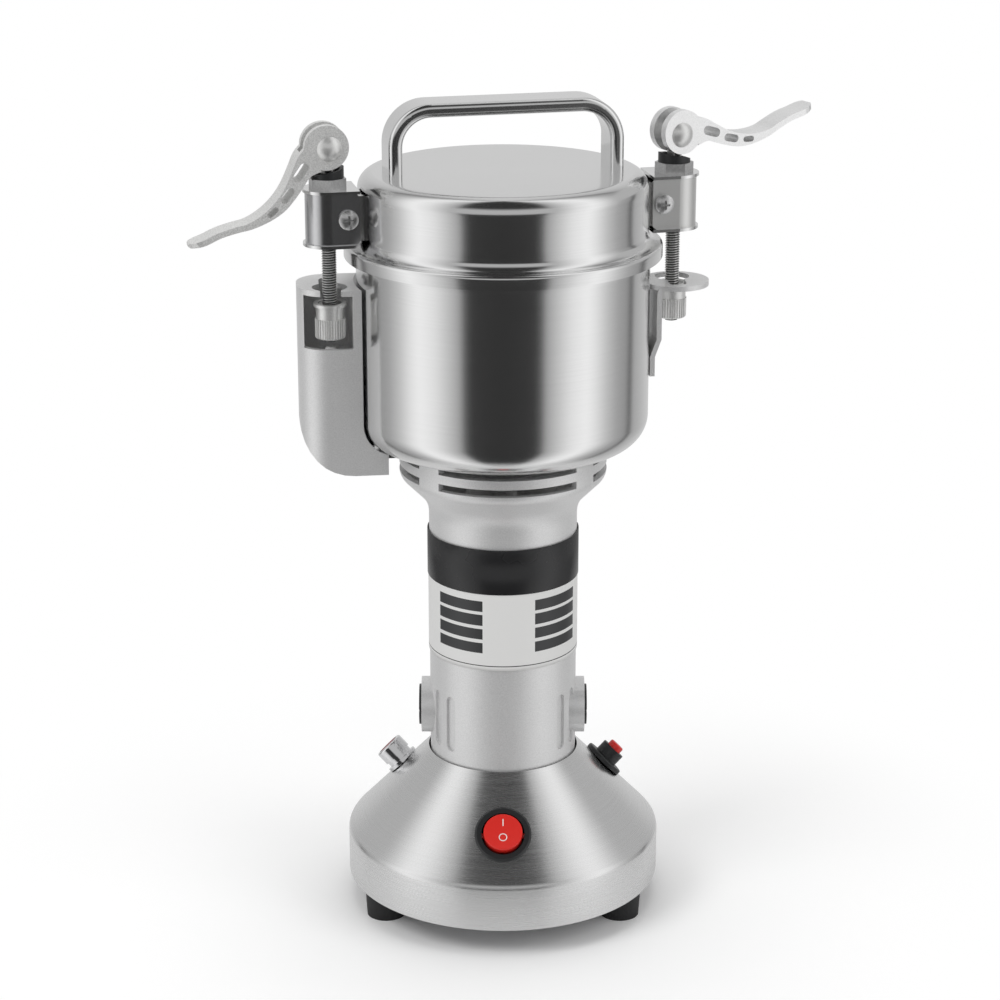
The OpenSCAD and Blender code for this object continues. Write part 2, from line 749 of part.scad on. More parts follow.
module brushes() {
    color(dark_steel) for (s = [0, mirror_flip]) rotate([0, 0, s])
        translate([commutator_r + brush_gap + brush_len / 2, 0, brush_z])
            cube([brush_len, brush_w, brush_w], center = true);
}

module brush_caps() {
    color(black) for (s = [0, mirror_flip]) rotate([0, 0, s])
        translate([boss_reach - cap_depth, 0, brush_z]) rotate([0, quarter, 0]) difference() {
            cylinder(r = brush_cap_r - cap_gap, h = cap_depth + cap_proud);
            translate([0, 0, cap_depth + cap_proud])
                cube([cap_slot_w, brush_cap_r * 4, cap_slot_w], center = true);
        }
}

// Bearings and the plate on top of the motor
upper_bearing_drop = 12.7;
upper_bearing_z = bowl_z - upper_bearing_drop;
bearing_ledge = 1.5;
seal_r = 9.6;
seal_h = 4;
seal_z = upper_bearing_z + bearing_w + bearing_ledge;
shoulder_r = 6;
boss_top_r = 12;
boss_rise = 1.8;
boss_top_z = bowl_z + bowl_sheet + boss_rise;
hub_wall = 3;

module bearings() {
    color(steel) for (z = [lower_bearing_z, upper_bearing_z])
        translate([0, 0, z]) ring(bearing_r, shaft_r + run_gap, bearing_w);
}

module bearing_plate() {
    color(silver_paint) difference() {
        union() {
            translate([0, 0, flange_top_z]) cylinder(r = flange_r, h = bearing_plate_t);
            translate([0, 0, upper_bearing_z]) cylinder(r = bearing_r + hub_wall, h = bowl_z - upper_bearing_z);
            translate([0, 0, flange_top_z]) cylinder(r = boss_top_r, h = boss_top_z - flange_top_z);
        }
        translate([0, 0, upper_bearing_z - cut_over]) cylinder(r = bearing_r + run_gap,
            h = bearing_w + cut_over);
        translate([0, 0, seal_z]) cylinder(r = seal_r + weld_gap, h = seal_h);
        translate([0, 0, upper_bearing_z]) cylinder(r = shoulder_r + small_gap, h = bowl_h);
        rotate([0, 0, housing_turn]) for (a = pillar_azimuths) rotate([0, 0, a])
            translate([bowl_screw_circle_r, 0, 0]) cylinder(r = small_screw_r + post_hole_gap, h = bowl_top_z);
    }
}

module shaft_seal() {
    color(black) translate([0, 0, seal_z]) ring(seal_r, shoulder_r + run_gap, seal_h);
}

// Rotor
blade_seat_gap = 2;
scraper_z = boss_top_z + blade_seat_gap;
spacer_h = 6;
main_blade_z = scraper_z + blade_t + spacer_h;
nut_across_r = 7.5;
blade_nut_h = 6.5;
shaft_end_extra = 2.5;
shaft_top_z = main_blade_z + blade_t + blade_nut_h + shaft_end_extra;
shaft_start_drop = 1;
winding_r = 13.6;
winding_h = 5.5;
armature_slots = 12;
slot_w = 2;
slot_deep = 4;
fan_h = 8;
fan_clear = 1;
fan_z = upper_bearing_z - fan_clear - fan_h;
fan_hub_r = 9;
fan_disc_t = 1.6;
fan_vane_t = 1.4;
spacer_r = 9;

module rotor_shaft() {
    color(steel) {
        translate([0, 0, lower_bearing_z - shaft_start_drop])
            cylinder(r = shaft_r, h = shaft_top_z - lower_bearing_z + shaft_start_drop);
        translate([0, 0, upper_bearing_z + bearing_w + small_gap])
            cylinder(r = shoulder_r, h = scraper_z - upper_bearing_z - bearing_w - small_gap);
        translate([0, 0, scraper_z + blade_t]) cylinder(r = spacer_r, h = spacer_h);
    }
}

module armature() {
    color(dark_steel) difference() {
        union() {
            translate([0, 0, core_z]) difference() {
                cylinder(r = armature_r, h = core_h);
                for (i = [1:armature_slots]) rotate([0, 0, circle_turn * i / armature_slots])
                    translate([armature_r, 0, core_h / 2]) cube([slot_deep * 2,
                        slot_w, core_h * 2], center = true);
            }
            translate([0, 0, core_z - winding_h]) cylinder(r = winding_r, h = core_h + winding_h * 2);
        }
        cylinder(r = shaft_r + weld_gap, h = bowl_z);
    }
}

module commutator() {
    color(copper) translate([0, 0, brush_z - commutator_h / 2]) ring(commutator_r,
        shaft_r + weld_gap, commutator_h);
}

module cooling_fan() {
    color(black) translate([0, 0, fan_z]) difference() {
        union() {
            cylinder(r = fan_r, h = fan_disc_t);
            cylinder(r = fan_hub_r, h = fan_h);
            for (i = [1:fan_vanes]) rotate([0, 0, circle_turn * i / fan_vanes])
                translate([fan_hub_r - cut_over, -fan_vane_t / 2, 0])
                    cube([fan_r - fan_hub_r, fan_vane_t, fan_h]);
        }
        translate([0, 0, -cut_over]) cylinder(r = shaft_r + weld_gap, h = fan_h + cut_over * 2);
    }
}

// Outline of a blade: wide at the hub and swept to a point on each leading corner
hub_eye_r = 11;
tip_w_share = 0.45;
bend_share = 0.62;
module blade_outline(reach) {
    for (s = [0, mirror_flip]) rotate([0, 0, s])
        polygon([[0, -blade_w / 2], [reach * bend_share, -blade_w / 2],
            [reach, -blade_w / 2 + blade_w * tip_w_share],
            [reach, blade_w / 2], [0, blade_w / 2]]);
    circle(r = hub_eye_r);
}

module scraper_blade() {
    color(steel) translate([0, 0, scraper_z]) rotate([0, 0, scraper_turn]) difference() {
        linear_extrude(height = blade_t) blade_outline(scraper_reach);
        translate([0, 0, -cut_over]) cylinder(r = shaft_r + weld_gap, h = blade_t + cut_over * 2);
    }
}

scraper_turn = 70;
main_turn = 20;
tip_bend = 32;

// The main blade seen from the side: flat at the hub, its ends bent up
module bent_strip() {
    run = main_blade_reach * (1 - bend_share);
    bend_x = main_blade_reach * bend_share;
    half = [[bend_x, 0], [bend_x + run * cos(tip_bend), run * sin(tip_bend)],
        [bend_x + run * cos(tip_bend) - blade_t * sin(tip_bend), run * sin(tip_bend) + blade_t * cos(tip_bend)],
        [bend_x - blade_t * tan(tip_bend / 2), blade_t]];
    polygon(concat(half, [for (p = turned(half)) [-p[0], p[1]]]));
}

module main_blade() {
    color(steel) translate([0, 0, main_blade_z]) rotate([0, 0, main_turn]) difference() {
        intersection() {
            linear_extrude(height = main_blade_reach)
                blade_outline(main_blade_reach * (bend_share + (1 - bend_share) * cos(tip_bend)));
            rotate([quarter, 0, 0]) linear_extrude(height = main_blade_reach, center = true) bent_strip();
        }
        translate([0, 0, -cut_over]) cylinder(r = shaft_r + weld_gap, h = blade_t + cut_over * 2);
    }
}

module blade_nut() {
    color(steel) translate([0, 0, main_blade_z + blade_t]) difference() {
        cylinder(r = nut_across_r, h = blade_nut_h, $fn = 6);
        translate([0, 0, -cut_over]) cylinder(r = shaft_r + weld_gap, h = blade_nut_h + cut_over * 2);
    }
}

// Bowl
module bowl_outline(gap, top) {
    polygon(concat([[0, bowl_z - gap]],
        arc([bowl_r - bowl_corner_r, bowl_z + bowl_corner_r], bowl_corner_r + gap, -quarter, 0),
        [[bowl_r + gap, top], [0, top]]));
}

module bowl() {
    color(steel) difference() {
        rotate_extrude() bowl_outline(0, bowl_top_z);
        rotate_extrude() bowl_outline(-bowl_sheet, bowl_top_z + cut_over);
        cylinder(r = boss_top_r + small_gap, h = bowl_top_z);
        rotate([0, 0, housing_turn]) for (a = pillar_azimuths) rotate([0, 0, a])
            translate([bowl_screw_circle_r, 0, 0]) cylinder(r = small_screw_r + post_hole_gap, h = bowl_top_z);
    }
}

small_head_r = 2.8;
small_head_h = 1.6;
module bowl_screws() {
    color(steel) rotate([0, 0, housing_turn]) for (a = pillar_azimuths) rotate([0, 0, a])
        translate([bowl_screw_circle_r, 0, rib_z + small_gap]) {
            cylinder(r = small_screw_r, h = bowl_z + bowl_sheet - rib_z - small_gap);
            translate([0, 0, bowl_z + bowl_sheet - rib_z - small_gap])
                cylinder(r = small_head_r, h = small_head_h);
        }
}

// A nut passes the round part of the opening and is held by the narrow part
keyhole_gap = 0.45;
slot_gap = 0.5;
lock_turn = 10;
module keyhole(azimuth) {
    rotate([0, 0, azimuth]) {
        translate([rod_at_r, 0, bowl_z]) cylinder(r = nut_flange_r + keyhole_gap, h = bowl_h);
        rotate([0, 0, -lock_turn]) {
            translate([rod_at_r, 0, bowl_z]) cylinder(r = rod_r + slot_gap, h = bowl_h);
            rotate_extrude(angle = lock_turn) translate([rod_at_r - rod_r - slot_gap, bowl_z])
                square([(rod_r + slot_gap) * 2, bowl_h]);
        }
    }
}

// Right lug
lug_top_z = bowl_top_z - lug_drop;
lug_leg_gap = 2;
lug_leg_u = bowl_r + lug_leg_gap;
lug_bend_r = 1.5;
lug_leg_w = 22;
lug_leg_drop = 22;
lug_step_h = 7;
lug_foot_h = 8;

module lug_bracket() {
    bend = [lug_leg_u + lug_t + lug_bend_r, lug_top_z - lug_t - lug_bend_r];
    step_z = lug_top_z - lug_leg_drop;
    foot_u = bowl_r + weld_gap - lug_foot_in;
    color(steel) difference() {
        rotate([0, 0, lug_turn]) {
            rotate([quarter, 0, 0]) translate([0, 0, -lug_leg_w / 2]) linear_extrude(height = lug_leg_w)
                polygon(concat([[rod_at_r, lug_top_z]], arc(bend, lug_bend_r + lug_t, quarter, mirror_flip),
                    [[lug_leg_u, step_z], [foot_u, step_z - lug_step_h],
                        [foot_u, step_z - lug_step_h - lug_foot_h],
                    [foot_u + lug_t, step_z - lug_step_h - lug_foot_h], [foot_u + lug_t, step_z - lug_step_h],
                    [lug_leg_u + lug_t, step_z]], arc(bend, lug_bend_r, mirror_flip, quarter),
                    [[rod_at_r, lug_top_z - lug_t]]));
            translate([rod_at_r, 0, lug_top_z - lug_t]) cylinder(r = lug_w / 2, h = lug_t);
        }
        cylinder(r = bowl_r + weld_gap, h = bowl_top_z);
        keyhole(lid_turn);
    }
}
lug_foot_in = 0.6;

// Interlock casting, drawn on the +X side and turned to the left
casting_top_z = bowl_top_z - casting_drop;
casting_gap = 1;
casting_under = 8.7;
casting_floor_z = bowl_z - casting_under;
casting_foot_u = 47.6;
casting_top_t = 2.2;
pocket_depth = 27;
pocket_deck_z = casting_top_z - casting_top_t - pocket_depth;
window_h = 21.4;
window_start_u = 60.8;
pocket_start_u = 60.8;
plunger_r = 2.2;
plunger_bore_r = plunger_r + run_gap;

module casting_plan(inset, start_u) {
    half = casting_w / 2 - inset;
    round_r = casting_corner_r - inset;
    translate([start_u, -half]) square([casting_reach - inset - round_r - start_u, half * 2]);
    translate([start_u, round_r - half]) square([casting_reach - inset - start_u, (half - round_r) * 2]);
    for (s = [-1, 1]) translate([casting_reach - inset - round_r, s * (half - round_r)]) circle(r = round_r);
}

module casting_side(inset) {
    rotate([quarter, 0, 0]) translate([0, 0, -casting_w]) linear_extrude(height = casting_w * 2)
        polygon(concat([[casting_foot_u + inset, casting_floor_z + inset]],
            arc([casting_reach - casting_sweep_r, casting_floor_z + casting_sweep_r],
                casting_sweep_r - inset, -quarter, 0),
            [[casting_reach - inset, casting_top_z + cut_over * inset],
                [casting_foot_u + inset, casting_top_z + cut_over * inset]]));
}

module interlock_casting() {
    color(silver_paint) difference() {
        rotate([0, 0, mirror_flip + casting_turn]) difference() {
            intersection() {
                casting_side(0);
                translate([0, 0, casting_floor_z])
                    linear_extrude(height = casting_top_z - casting_floor_z) casting_plan(0, casting_foot_u);
            }
            intersection() {
                casting_side(casting_wall);
                translate([0, 0, casting_floor_z])
                    linear_extrude(height = pocket_deck_z - casting_wall - casting_floor_z)
                        casting_plan(casting_wall, casting_foot_u);
            }
            translate([0, 0, pocket_deck_z]) linear_extrude(height = pocket_depth)
                casting_plan(casting_wall, pocket_start_u);
            translate([window_start_u, 0, casting_top_z - casting_top_t - window_h])
                cube([casting_reach - casting_wall - window_start_u, casting_w, window_h]);
            translate([casting_foot_u - cut_over, -tongue_w / 2 - small_gap, tongue_z - weld_gap])
                cube([casting_wall + cut_over * 2, tongue_w + small_gap * 2, tongue_t + small_gap]);
            rotate([0, 0, lid_turn - casting_turn]) translate([rod_at_r, 0, bowl_z])
                cylinder(r = plunger_bore_r, h = bowl_h);
            rotate([0, 0, lid_turn - casting_turn]) translate([rod_at_r,
                0, casting_top_z - casting_top_t - cut_over])
                rotate([0, 0, casting_turn - lid_turn]) translate([-casting_slot_w / 2, 0, 0])
                    cube([casting_slot_w, casting_w, casting_top_t * 2]);
        }
        rotate_extrude() bowl_outline(casting_gap, bowl_top_z);
        intersection() {
            keyhole(mirror_flip + lid_turn);
            translate([0, 0, pocket_deck_z + pocket_depth - cut_over])
                cylinder(r = casting_reach * 2, h = pocket_depth);
        }
    }
}

tongue_w = 14;
tongue_t = 2;
tongue_z = upper_vent_z + small_gap;
tongue_start_u = 35;
tongue_end_u = 62;
module interlock_tongue() {
    color(dark_steel) rotate([0, 0, mirror_flip + casting_turn])
        translate([tongue_start_u, -tongue_w / 2, tongue_z])
            cube([tongue_end_u - tongue_start_u, tongue_w, tongue_t]);
}

switch_box = [13, 6, 10];
switch_back_share = 0.5;
plunger_stroke = 4;
plunger_above = 5.2;
plunger_len = 11;
module plunger_place() {
    rotate([0, 0, mirror_flip + lid_turn]) translate([rod_at_r, 0, pocket_deck_z]) children();
}

module interlock_switch() {
    color(black) difference() {
        plunger_place() rotate([0, 0, casting_turn - lid_turn])
            translate([-switch_box[0] * switch_back_share, -switch_box[1] / 2, -casting_wall - switch_box[2] - weld_gap])
                cube(switch_box);
        plunger_place() translate([0, 0, plunger_above - plunger_len - plunger_stroke - small_gap])
            cylinder(r = plunger_bore_r, h = plunger_len * 2);
    }
}

module interlock_plunger() {
    color("white") plunger_place() translate([0, 0, plunger_above - plunger_len])
        rotate_extrude() polygon(concat([[0, 0], [plunger_r, 0]],
            arc([plunger_r / 2, plunger_len - plunger_r / 2], plunger_r / 2, 0, quarter), [[0, plunger_len]]));
}

// Lid
seal_under_gap = 0.3;
seal_gap = 0.3;
seal_skirt_t = 1.4;
seal_inner_r = bowl_r - bowl_sheet - seal_gap - seal_skirt_t;
seal_skirt_h = 5;
seal_top_z = rim_top_z - lid_sheet - seal_under_gap;

module lid_seal() {
    color([0.85, 0.85, 0.82]) {
        translate([0, 0, bowl_top_z])
            ring(lid_rim_r - lid_sheet - seal_gap, seal_inner_r, seal_top_z - bowl_top_z);
        translate([0, 0, bowl_top_z - seal_skirt_h])
            ring(seal_inner_r + seal_skirt_t, seal_inner_r, seal_skirt_h + weld_gap);
    }
}

function lid_line(inset) = concat(
    [[lid_rim_r - inset, lid_z - (inset > 0 ? cut_over : 0)]],
    arc([lid_rim_r - rim_round_r, rim_top_z - rim_round_r], rim_round_r - inset, 0, quarter),
    arc([lid_wall_r + lid_hollow_r, rim_top_z + lid_hollow_r], lid_hollow_r + inset,
        circle_turn - quarter, mirror_flip),
    arc([lid_disc_r, lid_top_z - lid_edge_r], lid_edge_r - inset, 0, quarter),
    [[0, lid_top_z - inset]], [[0, lid_z - (inset > 0 ? cut_over : 0)]]);

module lid_shell() {
    color(steel) difference() {
        rotate_extrude() polygon(lid_line(0));
        rotate_extrude() polygon(lid_line(lid_sheet));
    }
}

pan_t = 1;
pan_h = 9;
pan_r = lid_wall_r - lid_sheet - weld_gap;
pan_z = seal_top_z + seal_under_gap;
module lid_pan() {
    color(steel) translate([0, 0, pan_z]) rotate_extrude() polygon(concat([[0, 0]],
        arc([pan_r - rim_round_r, rim_round_r], rim_round_r, -quarter, 0),
        [[pan_r, pan_h], [pan_r - pan_t, pan_h]],
        arc([pan_r - rim_round_r, rim_round_r], rim_round_r - pan_t, 0, -quarter), [[0, pan_t]]));
}

// Strap section with rounded edges, lying in the XY plane
strap_edge_r = 2.2;
module strap_section() {
    x = strap_t / 2 - strap_edge_r;
    y = strap_w / 2 - strap_edge_r;
    square([strap_t, y * 2], center = true);
    square([x * 2, strap_w], center = true);
    for (s = [-1, 1], t = [-1, 1]) translate([s * x, t * y]) circle(r = strap_edge_r);
}

module handle() {
    leg_h = handle_h - strap_t / 2 - handle_bend_r;
    color(steel) rotate([0, 0, lid_turn]) translate([0, 0, lid_top_z]) {
        for (s = [0, mirror_flip]) rotate([0, 0, s]) {
            translate([handle_reach, 0, 0]) linear_extrude(height = leg_h) strap_section();
            translate([handle_reach - handle_bend_r, 0, leg_h]) rotate([quarter, 0, 0])
                rotate_extrude(angle = quarter) translate([handle_bend_r, 0]) strap_section();
        }
        translate([0, 0, leg_h + handle_bend_r]) rotate([0, quarter, 0])
            linear_extrude(height = (handle_reach - handle_bend_r) * 2, center = true) strap_section();
    }
}

// Latches: the left one faces the viewer with its +Y side, the right one with its -Y side
module at_left() {
    rotate([0, 0, mirror_flip + lid_turn]) children();
}
module at_right() {
    rotate([0, 0, lid_turn]) mirror([0, 1, 0]) children();
}

bracket_z = rim_top_z + bracket_rise;
bracket_top_z = bracket_z + bracket_h;
bracket_wall_gap = 1.4;
bracket_start_u = lid_wall_r + bracket_wall_gap;
bracket_corner_r = 2;
bracket_screw_in = 6.4;
rod_lug_gap = 0.5;
lug_block_end = rod_at_r - rod_r - rod_lug_gap;
lug_block_inset = 0.6;
lug_block_h = bracket_h - 4 * lug_block_inset;
side_gap = 0.1;
plate_extra = 1;

module lid_lugs() {
    half = bracket_w / 2 - bracket_sheet - side_gap;
    color(steel) for (s = [0, mirror_flip]) rotate([0, 0, s + lid_turn]) difference() {
        translate([lid_disc_r, -half, bracket_z + lug_block_inset * 2])
            cube([lug_block_end - lid_disc_r, half * 2, lug_block_h]);
        cylinder(r = lid_wall_r + weld_gap, h = lid_top_z + cut_over);
        rotate_extrude() translate([lid_wall_r + lid_hollow_r, rim_top_z + lid_hollow_r])
            circle(r = weld_gap);
        translate([rod_at_r - bracket_screw_in, 0, bracket_z + bracket_h / 2]) rotate([quarter, 0, 0])
            cylinder(r = screw_r + post_hole_gap, h = bracket_w * 2, center = true);
    }
}

module bracket_plan(extra) {
    half = bracket_w / 2 + extra;
    translate([rod_at_r, 0]) circle(r = half);
    translate([bracket_start_u, -half]) square([rod_at_r - bracket_start_u, half * 2]);
}

module latch_bracket() {
    difference() {
        intersection() {
            translate([0, 0, bracket_z]) linear_extrude(height = bracket_h) bracket_plan(0);
            union() {
                translate([bracket_start_u + bracket_corner_r, -bracket_w, bracket_z])
                    cube([bracket_w * 2, bracket_w * 2, bracket_h]);
                translate([bracket_start_u, -bracket_w, bracket_z + bracket_corner_r])
                    cube([bracket_w * 2, bracket_w * 2, bracket_h - bracket_corner_r * 2]);
                for (z = [bracket_z + bracket_corner_r, bracket_top_z - bracket_corner_r])
                    translate([bracket_start_u + bracket_corner_r, 0, z]) rotate([quarter, 0, 0])
                        cylinder(r = bracket_corner_r, h = bracket_w * 2, center = true);
            }
        }
        translate([0, 0, bracket_z - cut_over]) linear_extrude(height = bracket_h + cut_over * 2) {
            translate([rod_at_r, 0]) circle(r = bracket_w / 2 - bracket_sheet);
            translate([bracket_start_u - cut_over, bracket_sheet - bracket_w / 2])
                square([rod_at_r - bracket_start_u + cut_over, bracket_w - bracket_sheet * 2]);
        }
        translate([rod_at_r - bracket_screw_in, 0, bracket_z + bracket_h / 2]) rotate([quarter, 0, 0])
            cylinder(r = screw_r + post_hole_gap, h = bracket_w * 2, center = true);
    }
}

module latch_brackets() {
    color(dark_steel) {
        at_left() latch_bracket();
        at_right() latch_bracket();
    }
}

module bracket_plates() {
    color(steel) for (s = [0, mirror_flip]) rotate([0, 0, s + lid_turn])
        for (z = [bracket_z - bracket_plate_t, bracket_top_z]) translate([0, 0, z]) difference() {
            linear_extrude(height = bracket_plate_t) bracket_plan(plate_extra);
            translate([rod_at_r, 0, -cut_over]) cylinder(r = rod_r + run_gap,
                h = bracket_plate_t + cut_over * 2);
        }
}

module bracket_screw() {
    translate([rod_at_r - bracket_screw_in, bracket_w / 2, bracket_z + bracket_h / 2]) rotate([-quarter, 0, 0])
        pan_screw(bracket_w + nut_h + small_gap);
    translate([rod_at_r - bracket_screw_in, -bracket_w / 2 - nut_h, bracket_z + bracket_h / 2])
        rotate([-quarter, 0, 0]) cylinder(r = nut_r, h = nut_h, $fn = 6);
}

module bracket_screws() {
    color(steel) {
        at_left() bracket_screw();
        at_right() bracket_screw();
    }
}

// Seat and pad turn on the bracket, and the cam rides in the pad's hollow
seat_z = bracket_top_z + bracket_plate_t;
pad_r = 6.4;
seat_recess = 0.6;
pad_slope = 17;
pad_hollow_drop = pad_hollow_r - sqrt(pow(pad_hollow_r, 2) - pow(pad_r, 2));
hollow_z = seat_z + seat_h + pad_h - pad_hollow_drop;
cam_gap = 0.7;
function pin_z(tilt) = hollow_z + cam_gap + cam_r - cam_offset * cos(tilt + cam_lean);
cam_lean = -35;

module at_left_seat() {
    at_left() translate([rod_at_r, 0, 0]) rotate([0, 0, left_swivel]) children();
}
module at_right_seat() {
    at_right() translate([rod_at_r, 0, 0]) rotate([0, 0, -right_swivel]) children();
}

module seat() {
    translate([0, 0, seat_z]) rotate([0, 0, quarter / 3]) difference() {
        cylinder(r = seat_w / 2, h = seat_h, $fn = 6);
        translate([0, 0, -cut_over]) cylinder(r = rod_r + run_gap, h = seat_h + cut_over * 2);
        translate([0, 0, seat_h - seat_recess]) cylinder(r = pad_r + weld_gap, h = seat_h);
    }
}

module pad() {
    difference() {
        translate([0, 0, seat_z + seat_h - seat_recess]) cylinder(r = pad_r, h = pad_h + seat_recess);
        translate([0, 0, seat_z]) cylinder(r = eye_r + small_gap, h = bracket_h);
        translate([0, 0, hollow_z + pad_hollow_r]) rotate([quarter, 0, 0])
            cylinder(r = pad_hollow_r, h = bracket_w * 2, center = true);
        translate([0, 0, hollow_z]) rotate([0, pad_slope, 0]) translate([0, -bracket_w / 2, 0])
            cube([bracket_w, bracket_w, bracket_h]);
    }
}

// Rod with a flat eye at its upper end, drawn for one latch
eye_r = 4.6;
eye_w = 4.6;
pin_r = 2.5;
rod_past_nut = 1.2;
module rod(nut_drop, tilt) {
    rod_end_z = bowl_top_z - nut_drop - nut_len - rod_past_nut;
    flat_z = pin_z(tilt) - cam_r - cam_offset / 2;
    difference() {
        union() {
            difference() {
                translate([0, 0, rod_end_z]) cylinder(r = rod_r, h = pin_z(tilt) - rod_end_z);
                for (s = [-1, 1]) translate([0, s * (eye_w / 2 + rod_r - weld_gap), flat_z + cam_r])
                    cube([rod_r * 3, rod_r * 2, cam_r * 2], center = true);
            }
            translate([0, 0, pin_z(tilt)]) rotate([quarter, 0, 0]) cylinder(r = eye_r,
                h = eye_w, center = true);
        }
        translate([0, 0, pin_z(tilt)]) rotate([quarter, 0, 0])
            cylinder(r = pin_r + weld_gap, h = bracket_w, center = true);
    }
}

module pin(tilt) {
    translate([0, 0, pin_z(tilt)]) rotate([quarter, 0, 0]) {
        cylinder(r = pin_r, h = lever_w + weld_gap * 4, center = true);
        for (s = [0, mirror_flip]) rotate([s, 0, 0]) translate([0, 0, lever_w / 2 + weld_gap * 2])
            rotate_extrude() polygon(concat([[0, 0]],
                arc([0, pin_head_h - dome_r], dome_r, asin((dome_r - pin_head_h) / dome_r), quarter)));
    }
}
pin_head_h = 2.4;
dome_r = (pow(pin_head_r, 2) + pow(pin_head_h, 2)) / (pin_head_h * 2);

// Lever stations as shares of its length: along it, middle of the arm above the pin line, half its thickness
arm_shares = [[0.1, -0.015, 0.088], [0.172, -0.022, 0.070], [0.246, -0.064, 0.060], [0.328, -0.108, 0.049],
    [0.415, -0.140, 0.041], [0.515, -0.152, 0.030], [0.623, -0.143, 0.021], [0.712, -0.114, 0.019],
    [0.808, -0.087, 0.018], [0.905, -0.074, 0.018], [0.985, -0.052, 0.016]];
// Slots in the arm as shares: along it, above the pin line, length, width; and their slope
slot_shares = [[0.205, -0.040, 0.126, 0.057, -24], [0.345, -0.112, 0.108, 0.048, -20],
    [0.472, -0.147, 0.080, 0.036, -8]];
fork_w = 5;
fork_share = 0.155;
curve_steps = 4;

// A smooth curve through the stations, in the manner of a draughtsman's spline
function between(p, q, r, s, t) = ((q * 2) + (r - p) * t + (p * 2 - q * 5 + r * 4 - s) * pow(t, 2)
    + (q * 3 - p - r * 3 + s) * pow(t, 3)) / 2;
function station(i) = arm_shares[min(max(i, 0), len(arm_shares) - 1)];
arm_line = concat([for (i = [0:len(arm_shares) - 2], k = [0:curve_steps - 1])
    between(station(i - 1), station(i), station(i + 1), station(i + 2), k / curve_steps)],
    [arm_shares[len(arm_shares) - 1]]);

module lever() {
    tip = arm_line[len(arm_line) - 1] * lever_len;
    difference() {
        translate([-cam_offset * sin(cam_lean), 0, cam_offset * cos(cam_lean)]) difference() {
            union() {
                rotate([quarter, 0, 0]) cylinder(r = cam_r, h = lever_w + weld_gap * 2, center = true);
                intersection() {
                    rotate([quarter, 0, 0]) linear_extrude(height = lever_w, center = true)
                        polygon(concat([for (s = arm_line) [s[0], s[1] + s[2]] * lever_len],
                            arc([tip[0], tip[1]], tip[2], quarter - quarter / arc_steps,
                                quarter / arc_steps - quarter),
                            turned([for (s = arm_line) [s[0], s[1] - s[2]] * lever_len])));
                    translate([0, 0, -lever_len / 2]) linear_extrude(height = lever_len) polygon(concat(
                        [[0, -lever_w / 2 - cut_over], [lever_len * arm_start_share, -lever_w / 2 - cut_over]],
                        arc([lever_len - lever_w / 2, 0], lever_w / 2 + weld_gap, -quarter, quarter),
                        [[lever_len * arm_start_share, lever_w / 2 + cut_over], [0, lever_w / 2 + cut_over]]));
                }
            }
            for (s = slot_shares) translate([s[0] * lever_len, 0, s[1] * lever_len]) rotate([0, -s[4], 0])
                rotate([quarter, 0, 0]) linear_extrude(height = bracket_w, center = true)
                    polygon(slot_line(s[2] * lever_len, s[3] * lever_len / 2));
        }
        translate([-lever_len + lever_len * fork_share, 0, 0])
            cube([lever_len * 2, fork_w, lever_len], center = true);
        rotate([quarter, 0, 0]) cylinder(r = pin_r + run_gap, h = bracket_w, center = true);
    }
}
// Outline of a slot with round ends
function slot_line(length, r) = concat(arc([length / 2 - r, 0], r, -quarter, quarter),
    arc([r - length / 2, 0], r, quarter, circle_turn - quarter));
arm_start_share = 0.85;

module placed_lever(tilt) {
    translate([0, 0, pin_z(tilt)]) rotate([0, -tilt, 0]) lever();
}

// Knurled nut and the loose collar on top of it
collar_h = 0.8;
collar_r = 4.6;
nut_flange_h = 1.2;
nut_neck_r = 5.65;
nut_neck_h = 4.9;
nut_round = 1;
knurl_count = 36;
knurl_depth = 0.25;

module nut(nut_drop) {
    top_z = bowl_top_z - nut_drop;
    difference() {
        translate([0, 0, top_z - nut_len]) rotate_extrude() polygon(concat([[rod_r + weld_gap, 0]],
            arc([nut_knurl_r - nut_round, nut_round], nut_round, -quarter, 0),
            [[nut_knurl_r, nut_len - nut_flange_h - nut_neck_h], [nut_neck_r,
                nut_len - nut_flange_h - nut_neck_h],
            [nut_neck_r, nut_len - nut_flange_h], [nut_flange_r, nut_len - nut_flange_h],
                [nut_flange_r, nut_len],
            [rod_r + weld_gap, nut_len]]));
        translate([0, 0, top_z - collar_h]) cylinder(r = collar_r + run_gap, h = collar_h * 2);
        for (i = [1:knurl_count]) rotate([0, 0, circle_turn * i / knurl_count])
            translate([nut_knurl_r, 0, top_z - nut_len - cut_over]) rotate([0, 0, quarter / 2])
                translate([-knurl_depth, -knurl_depth, 0])
                    cube([knurl_depth * 2, knurl_depth * 2, nut_len - nut_flange_h - nut_neck_h + cut_over]);
    }
}

module collar(nut_drop) {
    translate([0, 0, bowl_top_z - nut_drop - collar_h + weld_gap])
        ring(collar_r, rod_r + weld_gap, collar_h - weld_gap);
}

